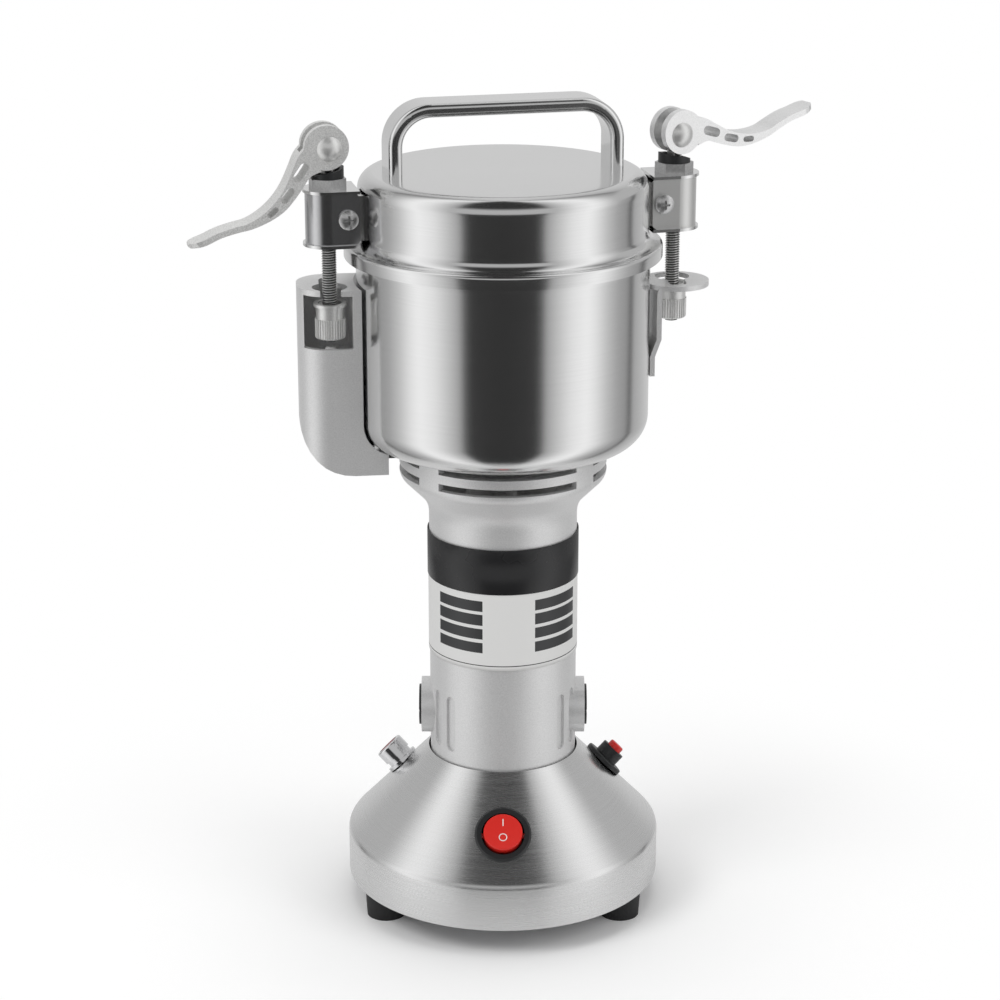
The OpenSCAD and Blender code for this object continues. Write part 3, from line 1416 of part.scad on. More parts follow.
module left_seat() { color(dark_steel) at_left_seat() seat(); }
module left_pad() { color(black) at_left_seat() pad(); }
module left_rod() { color(steel) at_left_seat() rod(left_nut_drop, left_tilt); }
module left_lever() { color(silver_paint) at_left_seat() placed_lever(left_tilt); }
module left_pin() { color(steel) at_left_seat() pin(left_tilt); }
module left_collar() { color(steel) at_left_seat() collar(left_nut_drop); }
module left_nut() { color(steel) at_left_seat() nut(left_nut_drop); }
module right_seat() { color(dark_steel) at_right_seat() seat(); }
module right_pad() { color(black) at_right_seat() pad(); }
module right_rod() { color(steel) at_right_seat() rod(right_nut_drop, right_tilt); }
module right_lever() { color(silver_paint) at_right_seat() placed_lever(right_tilt); }
module right_pin() { color(steel) at_right_seat() pin(right_tilt); }
module right_collar() { color(steel) at_right_seat() collar(right_nut_drop); }
module right_nut() { color(steel) at_right_seat() nut(right_nut_drop); }

base_shell();
base_ring();
base_plate();
feet();
base_screws();
motor_posts();
switch_body();
switch_rocker();
lamp_bezel();
lamp_lens();
breaker_body();
breaker_button();
cord_grommet();
motor_housing();
label_plate();
motor_end_plate();
stator();
field_windings();
brush_holders();
brushes();
brush_caps();
bearings();
bearing_plate();
shaft_seal();
rotor_shaft();
armature();
commutator();
cooling_fan();
scraper_blade();
main_blade();
blade_nut();
bowl();
bowl_screws();
lug_bracket();
interlock_casting();
interlock_tongue();
interlock_switch();
interlock_plunger();
lid_seal();
lid_shell();
lid_pan();
handle();
lid_lugs();
latch_brackets();
bracket_plates();
bracket_screws();
left_seat();
left_pad();
left_rod();
left_lever();
left_pin();
left_collar();
left_nut();
right_seat();
right_pad();
right_rod();
right_lever();
right_pin();
right_collar();
right_nut();
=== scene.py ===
import math

import bmesh
import bpy
from mathutils import Matrix, Vector


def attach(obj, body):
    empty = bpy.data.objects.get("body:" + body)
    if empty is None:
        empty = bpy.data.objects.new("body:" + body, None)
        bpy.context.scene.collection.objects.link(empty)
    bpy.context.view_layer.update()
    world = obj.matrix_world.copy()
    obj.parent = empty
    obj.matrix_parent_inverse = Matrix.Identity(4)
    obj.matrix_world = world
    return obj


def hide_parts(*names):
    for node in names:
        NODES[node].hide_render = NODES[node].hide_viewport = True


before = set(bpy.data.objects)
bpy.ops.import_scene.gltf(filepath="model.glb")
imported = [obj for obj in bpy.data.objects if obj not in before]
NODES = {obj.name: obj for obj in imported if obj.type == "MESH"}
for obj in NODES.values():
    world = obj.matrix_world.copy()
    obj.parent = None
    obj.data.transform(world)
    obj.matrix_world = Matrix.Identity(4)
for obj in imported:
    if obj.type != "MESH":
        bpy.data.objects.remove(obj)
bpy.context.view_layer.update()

# Sizes are in millimetres as in the CAD, unless they say metres, and angles are in degrees
MM = 0.001
PI = math.pi
SHEET = 1.2

# Base: a short wall, a fold and a cone up to the motor column
BASE_R, COLUMN_R = 65, 31
WALL_LOW, WALL_HIGH, CONE_TOP = 12, 31, 66.6
FOLD_R = 4
TILT = math.atan2(CONE_TOP - WALL_HIGH, BASE_R - COLUMN_R)
FOLD = 90 - math.degrees(TILT)
SWITCH_AT_R = 49.7
# Azimuth, distance from the shaft axis and radius: rocker switch, lamp, thermal cut-out, cable grommet
BASE_HOLES = [(-90, SWITCH_AT_R, 10.1), (164, 44, 4.8), (16, 44, 6.2), (90, 52, 5.5)]
CUTTER_H = 9.6

# Bowl
BOWL_R, BOWL_LOW, BOWL_RIM = 58.3, 199.74, 278.44
BOWL_BORE_R = 12.3
BOWL_BEND, BOWL_EDGE = 12, 0.4
SCREW_AT_R, SCREW_HOLE_R, SCREW_CUT_Z = 40, 1.5, 199
SCREW_AZIMUTHS = (-138, -42, 42, 138)
HOUSING_TURN = 3.2

# Lid
LID_RIM_R, LID_R = 63, 57.3
LID_LOW, LID_RIM_TOP, LID_TOP = 276.94, 282.34, 310.04
RIM_BEND, STEP_BEND, TOP_BEND = 1.5, 4.2, 6.5
AXIS_GAP = 0.01

# Label. Angles run from the front
LABEL_R, LABEL_SHEET = 30.65, 0.45
LABEL_HALF_ANGLE, LABEL_STEP = 100, 2.0
LABEL_LOW, LABEL_HIGH, HEADER_LOW = 110.9, 162.4, 143.6
HEADER_LIFT = 0.3
ROWS = [(136.0, 140.5), (130.0, 134.7), (124.1, 128.6), (118.2, 122.6)]
CELLS = [(-56.3, -15.6), (24.9, 68.5)]
RULE = (112.6, 113.0)
PANEL, HEADER, CELL = 0, 1, 2

# Clamp rods. Heights of the neck count down from the pin
ROD_AT_R = 69.7
LEFT_AZIMUTH, RIGHT_AZIMUTH = 192.9, 12.9
ROD_R, ROD_SIDES, RINGS_PER_MM = 2.99, 40, 8
PITCH, THREAD_DEPTH = 1.0, 0.56
ROOT_R, CREST_R = 2.5, 2.9
RUN_IN, RUN_OUT, END_BEVEL = 0.8, 1.0, 0.45
NUT_LEN, ROD_PAST_NUT = 14.2, 1.2
NECK_R, NECK_HALF = 2.9, 2.24
NECK_LOW, FLAT_LOW, NECK_HIGH = 9.9, 9.5, 4.0
EYE_R, EYE_BORE_R, EYE_HALF, EYE_EDGE, EYE_STEPS = 4.6, 2.55, 2.3, 0.4, 48

# Rocker
ROCKER_RISE, PIVOT_DROP, ROCKER_TILT = 3.8, 1, 5.0
DISH_R, DISH = 60.0, 0.5
MARK_LIFT = 0.03
BAR_START, BAR_STEP, BAR_POINTS, BAR_HALF = -5.6, 0.5, 7, 0.2
RING_AT, RING_RADII, RING_STEPS = 2.3, (1.35, 1.7), 40

# Mesh density and shading
TURN_STEPS = 256
RUN_STEP = 4.0
CUTTER_STEPS = 64
SHARP_ANGLE, LABEL_SHARP, ROD_SHARP = 35, 40, 50

# Colour sockets of the mix node
MIX_FACTOR, MIX_A, MIX_B, MIX_OUT = 0, 6, 7, 2
# Painted shade: the near-black colour that darkens the roots of the rod threads
PAINTED_ROOT_SHADE = (0.05, 0.05, 0.05)


# Nodes. The owner of a node tree is a material or the world
def add(owner, kind, **values):
    node = owner.node_tree.nodes.new(kind)
    for key, value in values.items():
        if key in node.inputs:
            node.inputs[key].default_value = value
        else:
            setattr(node, key, value)
    return node


def join(owner, out, into):
    owner.node_tree.links.new(out, into)


def math_node(owner, operation, *terms):
    """A math node whose terms are sockets or numbers."""
    node = add(owner, "ShaderNodeMath", operation=operation)
    for socket, term in zip(node.inputs, terms):
        if hasattr(term, "links"):
            join(owner, term, socket)
        else:
            socket.default_value = term
    return node.outputs[0]


def vector_math(owner, operation, vector, constant=None):
    node = add(owner, "ShaderNodeVectorMath", operation=operation)
    join(owner, vector, node.inputs[0])
    if constant:
        node.inputs[1].default_value = constant
    return node


def spread(owner, fac, low, high, start=0.0, stop=1.0, curve="LINEAR"):
    """Values from start to stop, mapped to low to high."""
    node = add(owner, "ShaderNodeMapRange", interpolation_type=curve)
    limits = {"From Min": start, "From Max": stop, "To Min": low, "To Max": high}
    for key, value in limits.items():
        node.inputs[key].default_value = value
    join(owner, fac, node.inputs["Value"])
    return node.outputs["Result"]


def mix_shader(owner, fac, first, second):
    node = add(owner, "ShaderNodeMixShader")
    for out, into in zip((fac, first, second), node.inputs):
        join(owner, out, into)
    return node.outputs[0]


def split_vector(owner, vector):
    node = add(owner, "ShaderNodeSeparateXYZ")
    join(owner, vector, node.inputs[0])
    return node.outputs


# Parts of materials
def shader_inputs(material):
    return material.node_tree.nodes["Principled BSDF"].inputs


def new_material(name, color, metallic, roughness, **sockets):
    material = bpy.data.materials.new(name)
    material.use_nodes = True
    inputs = shader_inputs(material)
    inputs["Base Color"].default_value = (*color, 1)
    inputs["Metallic"].default_value = metallic
    inputs["Roughness"].default_value = roughness
    for key, value in sockets.items():
        inputs[key.replace("_", " ")].default_value = value
    return material


def object_coordinates(material):
    return add(material, "ShaderNodeTexCoord").outputs["Object"]


def noise(material, vector, scale, detail=2.0, rough=0.5):
    node = add(material, "ShaderNodeTexNoise", Scale=scale, Detail=detail, Roughness=rough)
    join(material, vector, node.inputs["Vector"])
    return node.outputs["Fac"]


def bump(material, height, strength, distance):
    node = add(material, "ShaderNodeBump", Strength=strength, Distance=distance)
    join(material, height, node.inputs["Height"])
    join(material, node.outputs["Normal"], shader_inputs(material)["Normal"])


def vary(material, fac, socket, low, high):
    join(material, spread(material, fac, low, high), shader_inputs(material)[socket])


def scaled(color, factor):
    return tuple(min(c * factor, 1) for c in color)


def tint(material, fac, color, variation):
    """Let the base colour vary to both sides of the given one."""
    ramp = add(material, "ShaderNodeValToRGB")
    stops = ((0.3, 1 - variation), (0.7, 1 + variation))
    for element, (position, factor) in zip(ramp.color_ramp.elements, stops):
        element.position = position
        element.color = (*scaled(color, factor), 1)
    join(material, fac, ramp.inputs["Fac"])
    join(material, ramp.outputs["Color"], shader_inputs(material)["Base Color"])


def blend_base(material, factor, fixed, fixed_at, grain_at):
    """Mix the base colour, as tinted so far, with a fixed one."""
    into = shader_inputs(material)["Base Color"]
    grain = into.links[0].from_socket
    blend = add(material, "ShaderNodeMix", data_type="RGBA")
    blend.inputs[fixed_at].default_value = (*fixed, 1)
    join(material, factor, blend.inputs[MIX_FACTOR])
    join(material, grain, blend.inputs[grain_at])
    join(material, blend.outputs[MIX_OUT], into)


def ring_coordinates(material, along, across):
    """Coordinates round the shaft axis, so that a brushed grain follows the turning."""
    x, y, z = split_vector(material, object_coordinates(material))
    angle = math_node(material, "ARCTAN2", y, x)
    squares = [math_node(material, "MULTIPLY", part, part) for part in (x, y)]
    radius = math_node(material, "SQRT", math_node(material, "ADD", *squares))
    slope = math_node(material, "ADD", z, radius)
    combine = add(material, "ShaderNodeCombineXYZ")
    scales = ((angle, along), (z, across), (slope, across * 0.7))
    for (value, scale), into in zip(scales, combine.inputs):
        join(material, math_node(material, "MULTIPLY", value, scale), into)
    return combine.outputs[0]


# Kinds of material
def spun_steel(name, color, roughness, grain, anisotropy):
    """Sheet steel, brushed or polished round its axis."""
    material = new_material(name, color, 1.0, roughness,
                            Anisotropic=anisotropy, Anisotropic_Rotation=0.25)
    lines = noise(material, ring_coordinates(material, 1.2, 2600.0), 1.0, 3.0, 0.6)
    cloud = noise(material, object_coordinates(material), 28.0, 3.0)
    shares = [math_node(material, "MULTIPLY", part, share) for part, share in ((lines, 0.7), (cloud, 0.3))]
    uneven = math_node(material, "ADD", *shares)
    vary(material, uneven, "Roughness", roughness * 0.75, roughness * 1.3)
    tint(material, lines, color, grain)
    bump(material, lines, 0.12 + grain, 0.00004)
    tangent = add(material, "ShaderNodeTangent", direction_type="RADIAL", axis="Z")
    join(material, tangent.outputs[0], shader_inputs(material)["Tangent"])
    return material


def fine_metal(name, color, metallic, roughness, grain_scale, depth, variation=0.06):
    """Painted, cast or plated metal with a fine grain."""
    material = new_material(name, color, metallic, roughness)
    grain = noise(material, object_coordinates(material), grain_scale, 3.0, 0.6)
    cloud = noise(material, object_coordinates(material), 35.0, 2.0)
    tint(material, grain, color, variation)
    vary(material, cloud, "Roughness", roughness * 0.88, roughness * 1.12)
    bump(material, grain, 0.35, depth)
    return material


def bracket_steel(name, dark, lit_color, roughness):
    """Sheet steel, polished on the left bracket and satin on the right one. Its colour is also darker on
    the left bracket: painted shade for the dark reflection that bracket shows.
    """
    material = fine_metal(name, dark, 1.0, roughness, 1200.0, 0.000008, 0.04)
    x = split_vector(material, object_coordinates(material))[0]
    # Painted shade: the left bracket, at negative x, keeps the darker colour
    side = math_node(material, "GREATER_THAN", x, 0.0)
    blend_base(material, side, lit_color, MIX_B, MIX_A)
    vary(material, side, "Roughness", roughness, roughness * 1.9)
    return material


def threaded_steel(name, azimuth):
    """Plated steel with painted shade: dark in the roots of a thread, by the distance from the rod's own
    axis.
    """
    material = fine_metal(name, (0.78, 0.78, 0.77), 0.9, 0.30, 1500.0, 0.000006, 0.05)
    turn = math.radians(azimuth)
    axis = (ROD_AT_R * MM * math.cos(turn), ROD_AT_R * MM * math.sin(turn), 0)
    shift = vector_math(material, "SUBTRACT", object_coordinates(material), axis)
    flat = vector_math(material, "MULTIPLY", shift.outputs[0], (1, 1, 0))
    reach = vector_math(material, "LENGTH", flat.outputs[0]).outputs["Value"]
    crest = spread(material, reach, 0.0, 1.0, ROOT_R * MM, CREST_R * MM)
    # Painted shade in the thread roots, fading to the plain colour at the crests
    blend_base(material, crest, PAINTED_ROOT_SHADE, MIX_A, MIX_B)
    return material


def plastic(name, color, roughness, grain_scale=1800.0, depth=0.00002, **sockets):
    material = new_material(name, color, 0.0, roughness, **sockets)
    grain = noise(material, object_coordinates(material), grain_scale, 2.0)
    wear = noise(material, object_coordinates(material), 60.0, 3.0)
    vary(material, wear, "Roughness", roughness * 0.85, roughness * 1.2)
    bump(material, grain, 0.25, depth)
    return material


# Spun steel: name, colour, roughness, grain, anisotropy.
# Fine metal: name, colour, metallic, roughness, grain scale, bump in metres, variation.
# Plastic: name, colour, roughness, grain scale, bump in metres.
M = {
    "bowl": spun_steel("bowl_steel", (0.80, 0.80, 0.80), 0.16, 0.02, 0.35),
    "lid": spun_steel("lid_steel", (0.80, 0.80, 0.80), 0.15, 0.02, 0.35),
    "base": spun_steel("base_steel", (0.80, 0.80, 0.80), 0.26, 0.035, 0.75),
    "inner": fine_metal("inner_steel", (0.6, 0.6, 0.6), 1.0, 0.35, 900.0, 0.00002),
    "polished": fine_metal("polished_steel", (0.82, 0.82, 0.82), 1.0, 0.14, 1200.0, 0.000004, 0.02),
    "nickel": fine_metal("nickel_plate", (0.72, 0.72, 0.71), 1.0, 0.22, 1500.0, 0.000006, 0.03),
    "zinc": fine_metal("zinc_steel", (0.46, 0.46, 0.47), 1.0, 0.26, 1200.0, 0.000008, 0.05),
    # The darker colour of the left bracket is painted shade
    "bracket": bracket_steel("bracket_steel", (0.60, 0.60, 0.61), (0.80, 0.80, 0.79), 0.22),
    "paint": fine_metal("silver_paint", (0.80, 0.80, 0.80), 0.55, 0.44, 2300.0, 0.00004, 0.08),
    "cast": fine_metal("cast_aluminium", (0.84, 0.84, 0.84), 0.55, 0.44, 1900.0, 0.00005, 0.08),
    # Lit and shaded copies of one cast: the right lever's lighter, more metallic colour is a painted
    # highlight and the left lever's darker one is painted shade. The left's coarser speckle is grain
    "left_lever": fine_metal("left_cast_shaded", (0.80, 0.80, 0.79), 0.55, 0.44, 1900.0, 0.00006, 0.20),
    "right_lever": fine_metal("right_cast_lit", (0.92, 0.92, 0.92), 0.85, 0.36, 1900.0, 0.00004, 0.07),
    "screw": fine_metal("screw_steel", (0.62, 0.62, 0.62), 0.9, 0.28, 1500.0, 0.00001, 0.15),
    "pin": fine_metal("pin_steel", (0.82, 0.82, 0.81), 0.75, 0.36, 1500.0, 0.000008, 0.06),
    "nut": fine_metal("nut_plate", (0.86, 0.86, 0.85), 0.70, 0.38, 1500.0, 0.000008, 0.05),
    "left_thread": threaded_steel("left_thread", LEFT_AZIMUTH),
    "right_thread": threaded_steel("right_thread", RIGHT_AZIMUTH),
    "hex": fine_metal("dark_steel", (0.62, 0.62, 0.62), 0.75, 0.36, 1300.0, 0.000012, 0.12),
    "chrome": fine_metal("chrome_plate", (0.85, 0.85, 0.86), 1.0, 0.08, 900.0, 0.000002, 0.01),
    "black": plastic("black_plastic", (0.018, 0.019, 0.02), 0.38),
    "rubber": plastic("black_rubber", (0.014, 0.014, 0.015), 0.6, 1400.0, 0.00004),
    "red": plastic("red_plastic", (0.72, 0.022, 0.015), 0.28, 2000.0, 0.000008,
                   Coat_Weight=0.25, Coat_Roughness=0.15),
    "lens": plastic("red_lens", (0.62, 0.02, 0.015), 0.12, 900.0, 0.000006,
                    Transmission_Weight=0.25, IOR=1.49),
    "white": plastic("white_print", (0.86, 0.86, 0.85), 0.35),
    "header": plastic("black_print", (0.016, 0.016, 0.017), 0.26, 2400.0, 0.000008),
    "panel": plastic("white_foil", (0.80, 0.80, 0.79), 0.34, 2400.0, 0.00001),
    "cell": plastic("grey_print", (0.035, 0.036, 0.038), 0.34, 2400.0, 0.00001),
    "seal": plastic("clear_seal", (0.72, 0.72, 0.69), 0.4, 900.0, 0.00002),
    "copper": fine_metal("enamelled_copper", (0.62, 0.27, 0.12), 1.0, 0.3, 900.0, 0.00005),
    "carbon": plastic("carbon_block", (0.03, 0.03, 0.03), 0.5),
}
NODE_MATERIAL = {
    "base": "base_shell",
    "bowl": "bowl",
    "lid": "lid_shell",
    "inner": "lid_pan base_ring motor_posts bearing_plate armature stator",
    "polished": "handle bracket_plates rotor_shaft scraper_blade main_blade blade_nut bearings"
                " interlock_tongue",
    "nickel": "left_collar right_collar base_screws bowl_screws lid_lugs",
    "screw": "bracket_screws",
    "pin": "left_pin right_pin",
    "nut": "left_nut right_nut",
    "left_thread": "left_rod",
    "right_thread": "right_rod",
    "left_lever": "left_lever",
    "right_lever": "right_lever",
    "bracket": "latch_brackets",
    "zinc": "base_plate",
    "paint": "motor_housing interlock_casting lug_bracket",
    "cast": "motor_end_plate",
    "hex": "left_seat right_seat",
    "chrome": "lamp_bezel",
    "black": "switch_body breaker_body cord_grommet brush_caps interlock_switch brush_holders"
             " left_pad right_pad",
    "rubber": "feet",
    "red": "switch_rocker breaker_button",
    "lens": "lamp_lens",
    "panel": "label_plate",
    "copper": "field_windings commutator",
    "carbon": "brushes",
    "white": "interlock_plunger shaft_seal cooling_fan",
    "seal": "lid_seal",
}
for key, names in NODE_MATERIAL.items():
    for name in names.split():
        mesh = NODES[name].data
        mesh.materials.clear()
        mesh.materials.append(M[key])


# Mesh helpers
def shade_smooth(mesh, sharp):
    for polygon in mesh.polygons:
        polygon.use_smooth = True
    mesh.set_sharp_from_angle(angle=math.radians(sharp))


def mesh_object(name, points, faces, materials, body, sharp=SHARP_ANGLE):
    mesh = bpy.data.meshes.new(name)
    mesh.from_pydata([(x * MM, y * MM, z * MM) for x, y, z in points], [], faces)
    for material in materials:
        mesh.materials.append(material)
    mesh.validate()
    obj = bpy.data.objects.new(name, mesh)
    bpy.context.scene.collection.objects.link(obj)
    shade_smooth(mesh, sharp)
    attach(obj, body)
    return obj


def quads(rows, n, start=0, closed_rows=False, closed_row=True, flip=False):
    """Faces that join rows of n points, the first point being number start."""
    faces = []
    for i in range(rows if closed_rows else rows - 1):
        here, there = start + i * n, start + (i + 1) % rows * n
        for j in range(n if closed_row else n - 1):
            k = (j + 1) % n
            face = (here + j, here + k, there + k, there + j)
            faces.append((face[0], *face[:0:-1]) if flip else face)
    return faces


def arc(cx, cz, r, start, stop, steps=10):
    angles = [math.radians(start + (stop - start) * i / steps) for i in range(steps + 1)]
    return [(cx + r * math.cos(a), cz + r * math.sin(a)) for a in angles]


def lathe(name, outline, material, body):
    """A closed outline of (radius, height) points, turned round the shaft axis."""
    points = []
    for i in range(TURN_STEPS):
        a = 2 * PI * i / TURN_STEPS
        points += [(r * math.cos(a), r * math.sin(a), z) for r, z in outline]
    faces = quads(TURN_STEPS, len(outline), closed_rows=True, flip=True)
    return mesh_object(name, points, faces, [material], body)


def finer(points):
    """The outline with more points on its long straight runs."""
    out = []
    for i, (r, z) in enumerate(points):
        r2, z2 = points[(i + 1) % len(points)]
        n = max(1, int(math.dist((r, z), (r2, z2)) / RUN_STEP))
        out += [(r + (r2 - r) * k / n, z + (z2 - z) * k / n) for k in range(n)]
    return out


def bore(obj, holes):
    """Cut round holes through a turned sheet. A hole is its place and its radius."""
    cutters = []
    for place, r in holes:
        shape = bmesh.new()
        bmesh.ops.create_cone(shape, cap_ends=True, segments=CUTTER_STEPS, radius1=r * MM,
                              radius2=r * MM, depth=CUTTER_H * MM, matrix=place)
        mesh = bpy.data.meshes.new("cutter")
        shape.to_mesh(mesh)
        shape.free()
        cutter = bpy.data.objects.new("cutter", mesh)
        bpy.context.scene.collection.objects.link(cutter)
        cutters.append(cutter)
        cut = obj.modifiers.new("hole", "BOOLEAN")
        cut.operation = "DIFFERENCE"
        cut.solver = "EXACT"
        cut.object = cutter
    bpy.context.view_layer.update()
    bored = obj.evaluated_get(bpy.context.evaluated_depsgraph_get())
    obj.data = bpy.data.meshes.new_from_object(bored)
    obj.modifiers.clear()
    for cutter in cutters:
        bpy.data.objects.remove(cutter)
    shade_smooth(obj.data, SHARP_ANGLE)


# Camera, as fitted to the photograph, in metres
CAMERA_LENS, CAMERA_SENSOR, CAMERA_CLIP = 99.18, 36, 50
CAMERA_AT = (-0.00122, -1.065, 0.5279)
CAMERA_PITCH = 71.6

camera_data = bpy.data.cameras.new("camera")
camera_data.lens = CAMERA_LENS
camera_data.sensor_width = CAMERA_SENSOR
camera_data.clip_end = CAMERA_CLIP
camera = bpy.data.objects.new("camera", camera_data)
camera.location = CAMERA_AT
camera.rotation_euler = (math.radians(CAMERA_PITCH), 0, 0)
bpy.context.scene.collection.objects.link(camera)
bpy.context.scene.camera = camera

# Floor: it takes the shadow close to the mill and is white further off. In metres
FLOOR_REACH = 12
CAMERA_FADE = (0.10, 0.26)
GLOSSY_FADE = (0.07, 0.22)
FLOOR_TONE, FLOOR_TONE_SEEN = 0.80, 1.04

floor_mesh = bpy.data.meshes.new("floor")
corners = [(x * FLOOR_REACH, y * FLOOR_REACH, 0) for x, y in ((-1, -1), (1, -1), (1, 1), (-1, 1))]
floor_mesh.from_pydata(corners, [], [(0, 1, 2, 3)])
floor = bpy.data.objects.new("floor", floor_mesh)
bpy.context.scene.collection.objects.link(floor)
ground = bpy.data.materials.new("floor")
ground.use_nodes = True
ground.node_tree.nodes.clear()
rays = add(ground, "ShaderNodeLightPath").outputs
place = add(ground, "ShaderNodeNewGeometry").outputs["Position"]
distance = vector_math(ground, "LENGTH", place).outputs["Value"]


def beyond(near, far, ray):
    """0 near the object and 1 away from it, for one kind of ray only."""
    reach = spread(ground, distance, 0.0, 1.0, near, far, "SMOOTHSTEP")
    return math_node(ground, "MULTIPLY", reach, rays[ray])


diffuse = add(ground, "ShaderNodeBsdfDiffuse")
tone = spread(ground, rays["Is Camera Ray"], FLOOR_TONE, FLOOR_TONE_SEEN)
join(ground, tone, diffuse.inputs["Color"])
white = add(ground, "ShaderNodeEmission")
clear = add(ground, "ShaderNodeBsdfTransparent")
seen = mix_shader(ground, beyond(*CAMERA_FADE, "Is Camera Ray"), diffuse.outputs[0], white.outputs[0])
total = mix_shader(ground, beyond(*GLOSSY_FADE, "Is Glossy Ray"), seen, clear.outputs[0])
join(ground, total, add(ground, "ShaderNodeOutputMaterial").inputs["Surface"])
floor_mesh.materials.append(ground)

# World: white for the camera, plain for diffuse rays, and a studio of cards for mirrors.
# Bearings run from the front to the back, each with the tone of its card.
HALF_STOPS = [(0, 0.035), (25, 0.04), (30, 0.12), (33, 0.40), (42, 0.62), (54, 0.90),
              (68, 1.05), (76, 0.92), (88, 0.62), (100, 0.42), (112, 0.34), (118, 0.10),
              (124, 0.45), (150, 0.60), (180, 0.68)]
STUDIO_STOPS = [(-angle, level) for angle, level in HALF_STOPS[:0:-1]] + HALF_STOPS
LEAN_BY_HEIGHT, LEAN = 0.24, 0.076
PLAIN_STRENGTH = 0.55
WHITE = (1, 1, 1, 1)
BAND_LEVEL = 0.5
BAND_EDGES = ((0.05, 0.15), (0.75, 0.55))

world = bpy.data.worlds.new("studio")
bpy.context.scene.world = world
world.use_nodes = True
world.cycles.sampling_method = "NONE"
world.node_tree.nodes.clear()
rays = add(world, "ShaderNodeLightPath").outputs
plain = add(world, "ShaderNodeBackground", Color=WHITE, Strength=PLAIN_STRENGTH)
backdrop = add(world, "ShaderNodeBackground", Color=WHITE, Strength=1.0)
studio = add(world, "ShaderNodeBackground", Strength=1.0)
x, y, z = split_vector(world, add(world, "ShaderNodeTexCoord").outputs["Generated"])
lean = math_node(world, "MULTIPLY_ADD", z, LEAN_BY_HEIGHT, LEAN)
bearing = math_node(world, "ARCTAN2", x, math_node(world, "SUBTRACT", lean, y))
ramp = add(world, "ShaderNodeValToRGB")
elements = ramp.color_ramp.elements
while len(elements) < len(STUDIO_STOPS):
    elements.new(0.5)
for element, (degrees, level) in zip(elements, STUDIO_STOPS):
    element.position = (degrees + 180) / 360
    element.color = (level, level, level, 1)
join(world, spread(world, bearing, 0.0, 1.0, -PI, PI), ramp.inputs["Fac"])
# A grey band at middle height, so that level tops seen from behind aren't black
edges = [spread(world, z, 0.0, BAND_LEVEL ** 0.5, start, stop) for start, stop in BAND_EDGES]
band = math_node(world, "MULTIPLY", *edges)
join(world, math_node(world, "MAXIMUM", ramp.outputs["Color"], band), studio.inputs["Color"])
mirrored = mix_shader(world, rays["Is Glossy Ray"], plain.outputs[0], studio.outputs[0])
surround = mix_shader(world, rays["Is Camera Ray"], mirrored, backdrop.outputs[0])
join(world, surround, add(world, "ShaderNodeOutputWorld").inputs["Surface"])


def lamp(name, place, target, size, power):
    """A square area lamp that mirrors don't show. In metres and watts."""
    data = bpy.data.lights.new(name, "AREA")
    data.shape = "RECTANGLE"
    data.size = size
    data.size_y = size
    data.energy = power
    obj = bpy.data.objects.new(name, data)
    obj.location = place
    aim = Vector(target) - Vector(place)
    obj.rotation_euler = aim.to_track_quat("-Z", "Y").to_euler()
    obj.visible_glossy = False
    bpy.context.scene.collection.objects.link(obj)


lamp("key", (-0.9, -0.7, 1.3), (0, 0, 0.17), 0.7, 7)
lamp("fill", (1.1, -0.6, 1.0), (0, 0, 0.17), 0.8, 4)
lamp("top", (0, 0.2, 1.6), (0, 0, 0.2), 0.9, 5)
bpy.context.scene.view_settings.view_transform = "Standard"


# Base shell, bowl and lid as smooth turned sheets
def shell_side(inset):
    fold_z = WALL_HIGH - FOLD_R * math.tan(math.radians(FOLD / 2))
    return ([(BASE_R - inset, WALL_LOW)]
            + arc(BASE_R - FOLD_R, fold_z, FOLD_R - inset, 0, FOLD)
            + [(COLUMN_R, CONE_TOP - inset / math.cos(TILT))])


def cone_height(r):
    return WALL_HIGH + (BASE_R - r) * math.tan(TILT)


def on_cone(azimuth, r):
    """A place on the cone of the base, with Z along its normal."""
    return (Matrix.Rotation(math.radians(azimuth), 4, "Z")
            @ Matrix.Translation((r * MM, 0, cone_height(r) * MM))
            @ Matrix.Rotation(TILT, 4, "Y"))


base = lathe("spun_base", finer(shell_side(0) + shell_side(SHEET)[::-1]), M["base"], "mill")
bore(base, [(on_cone(azimuth, r), hole_r) for azimuth, r, hole_r in BASE_HOLES])
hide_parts("base_shell")


def screw_place(azimuth):
    t = math.radians(azimuth + HOUSING_TURN)
    return Matrix.Translation((SCREW_AT_R * MM * math.cos(t), SCREW_AT_R * MM * math.sin(t),
                               SCREW_CUT_Z * MM))


bend_at = (BOWL_R - BOWL_BEND, BOWL_LOW + BOWL_BEND)
edge_z = BOWL_RIM - BOWL_EDGE
bowl_side = ([(BOWL_BORE_R, BOWL_LOW)]
             + arc(*bend_at, BOWL_BEND, -90, 0, 16)
             + arc(BOWL_R - BOWL_EDGE, edge_z, BOWL_EDGE, 0, 90, 3)
             + arc(BOWL_R - 2 * BOWL_EDGE, edge_z, BOWL_EDGE, 90, 180, 3)
             + arc(*bend_at, BOWL_BEND - SHEET, 0, -90, 16)
             + [(BOWL_BORE_R, BOWL_LOW + SHEET)])
bowl = lathe("drawn_bowl", finer(bowl_side), M["bowl"], "mill")
bore(bowl, [(screw_place(azimuth), SCREW_HOLE_R) for azimuth in SCREW_AZIMUTHS])
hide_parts("bowl")


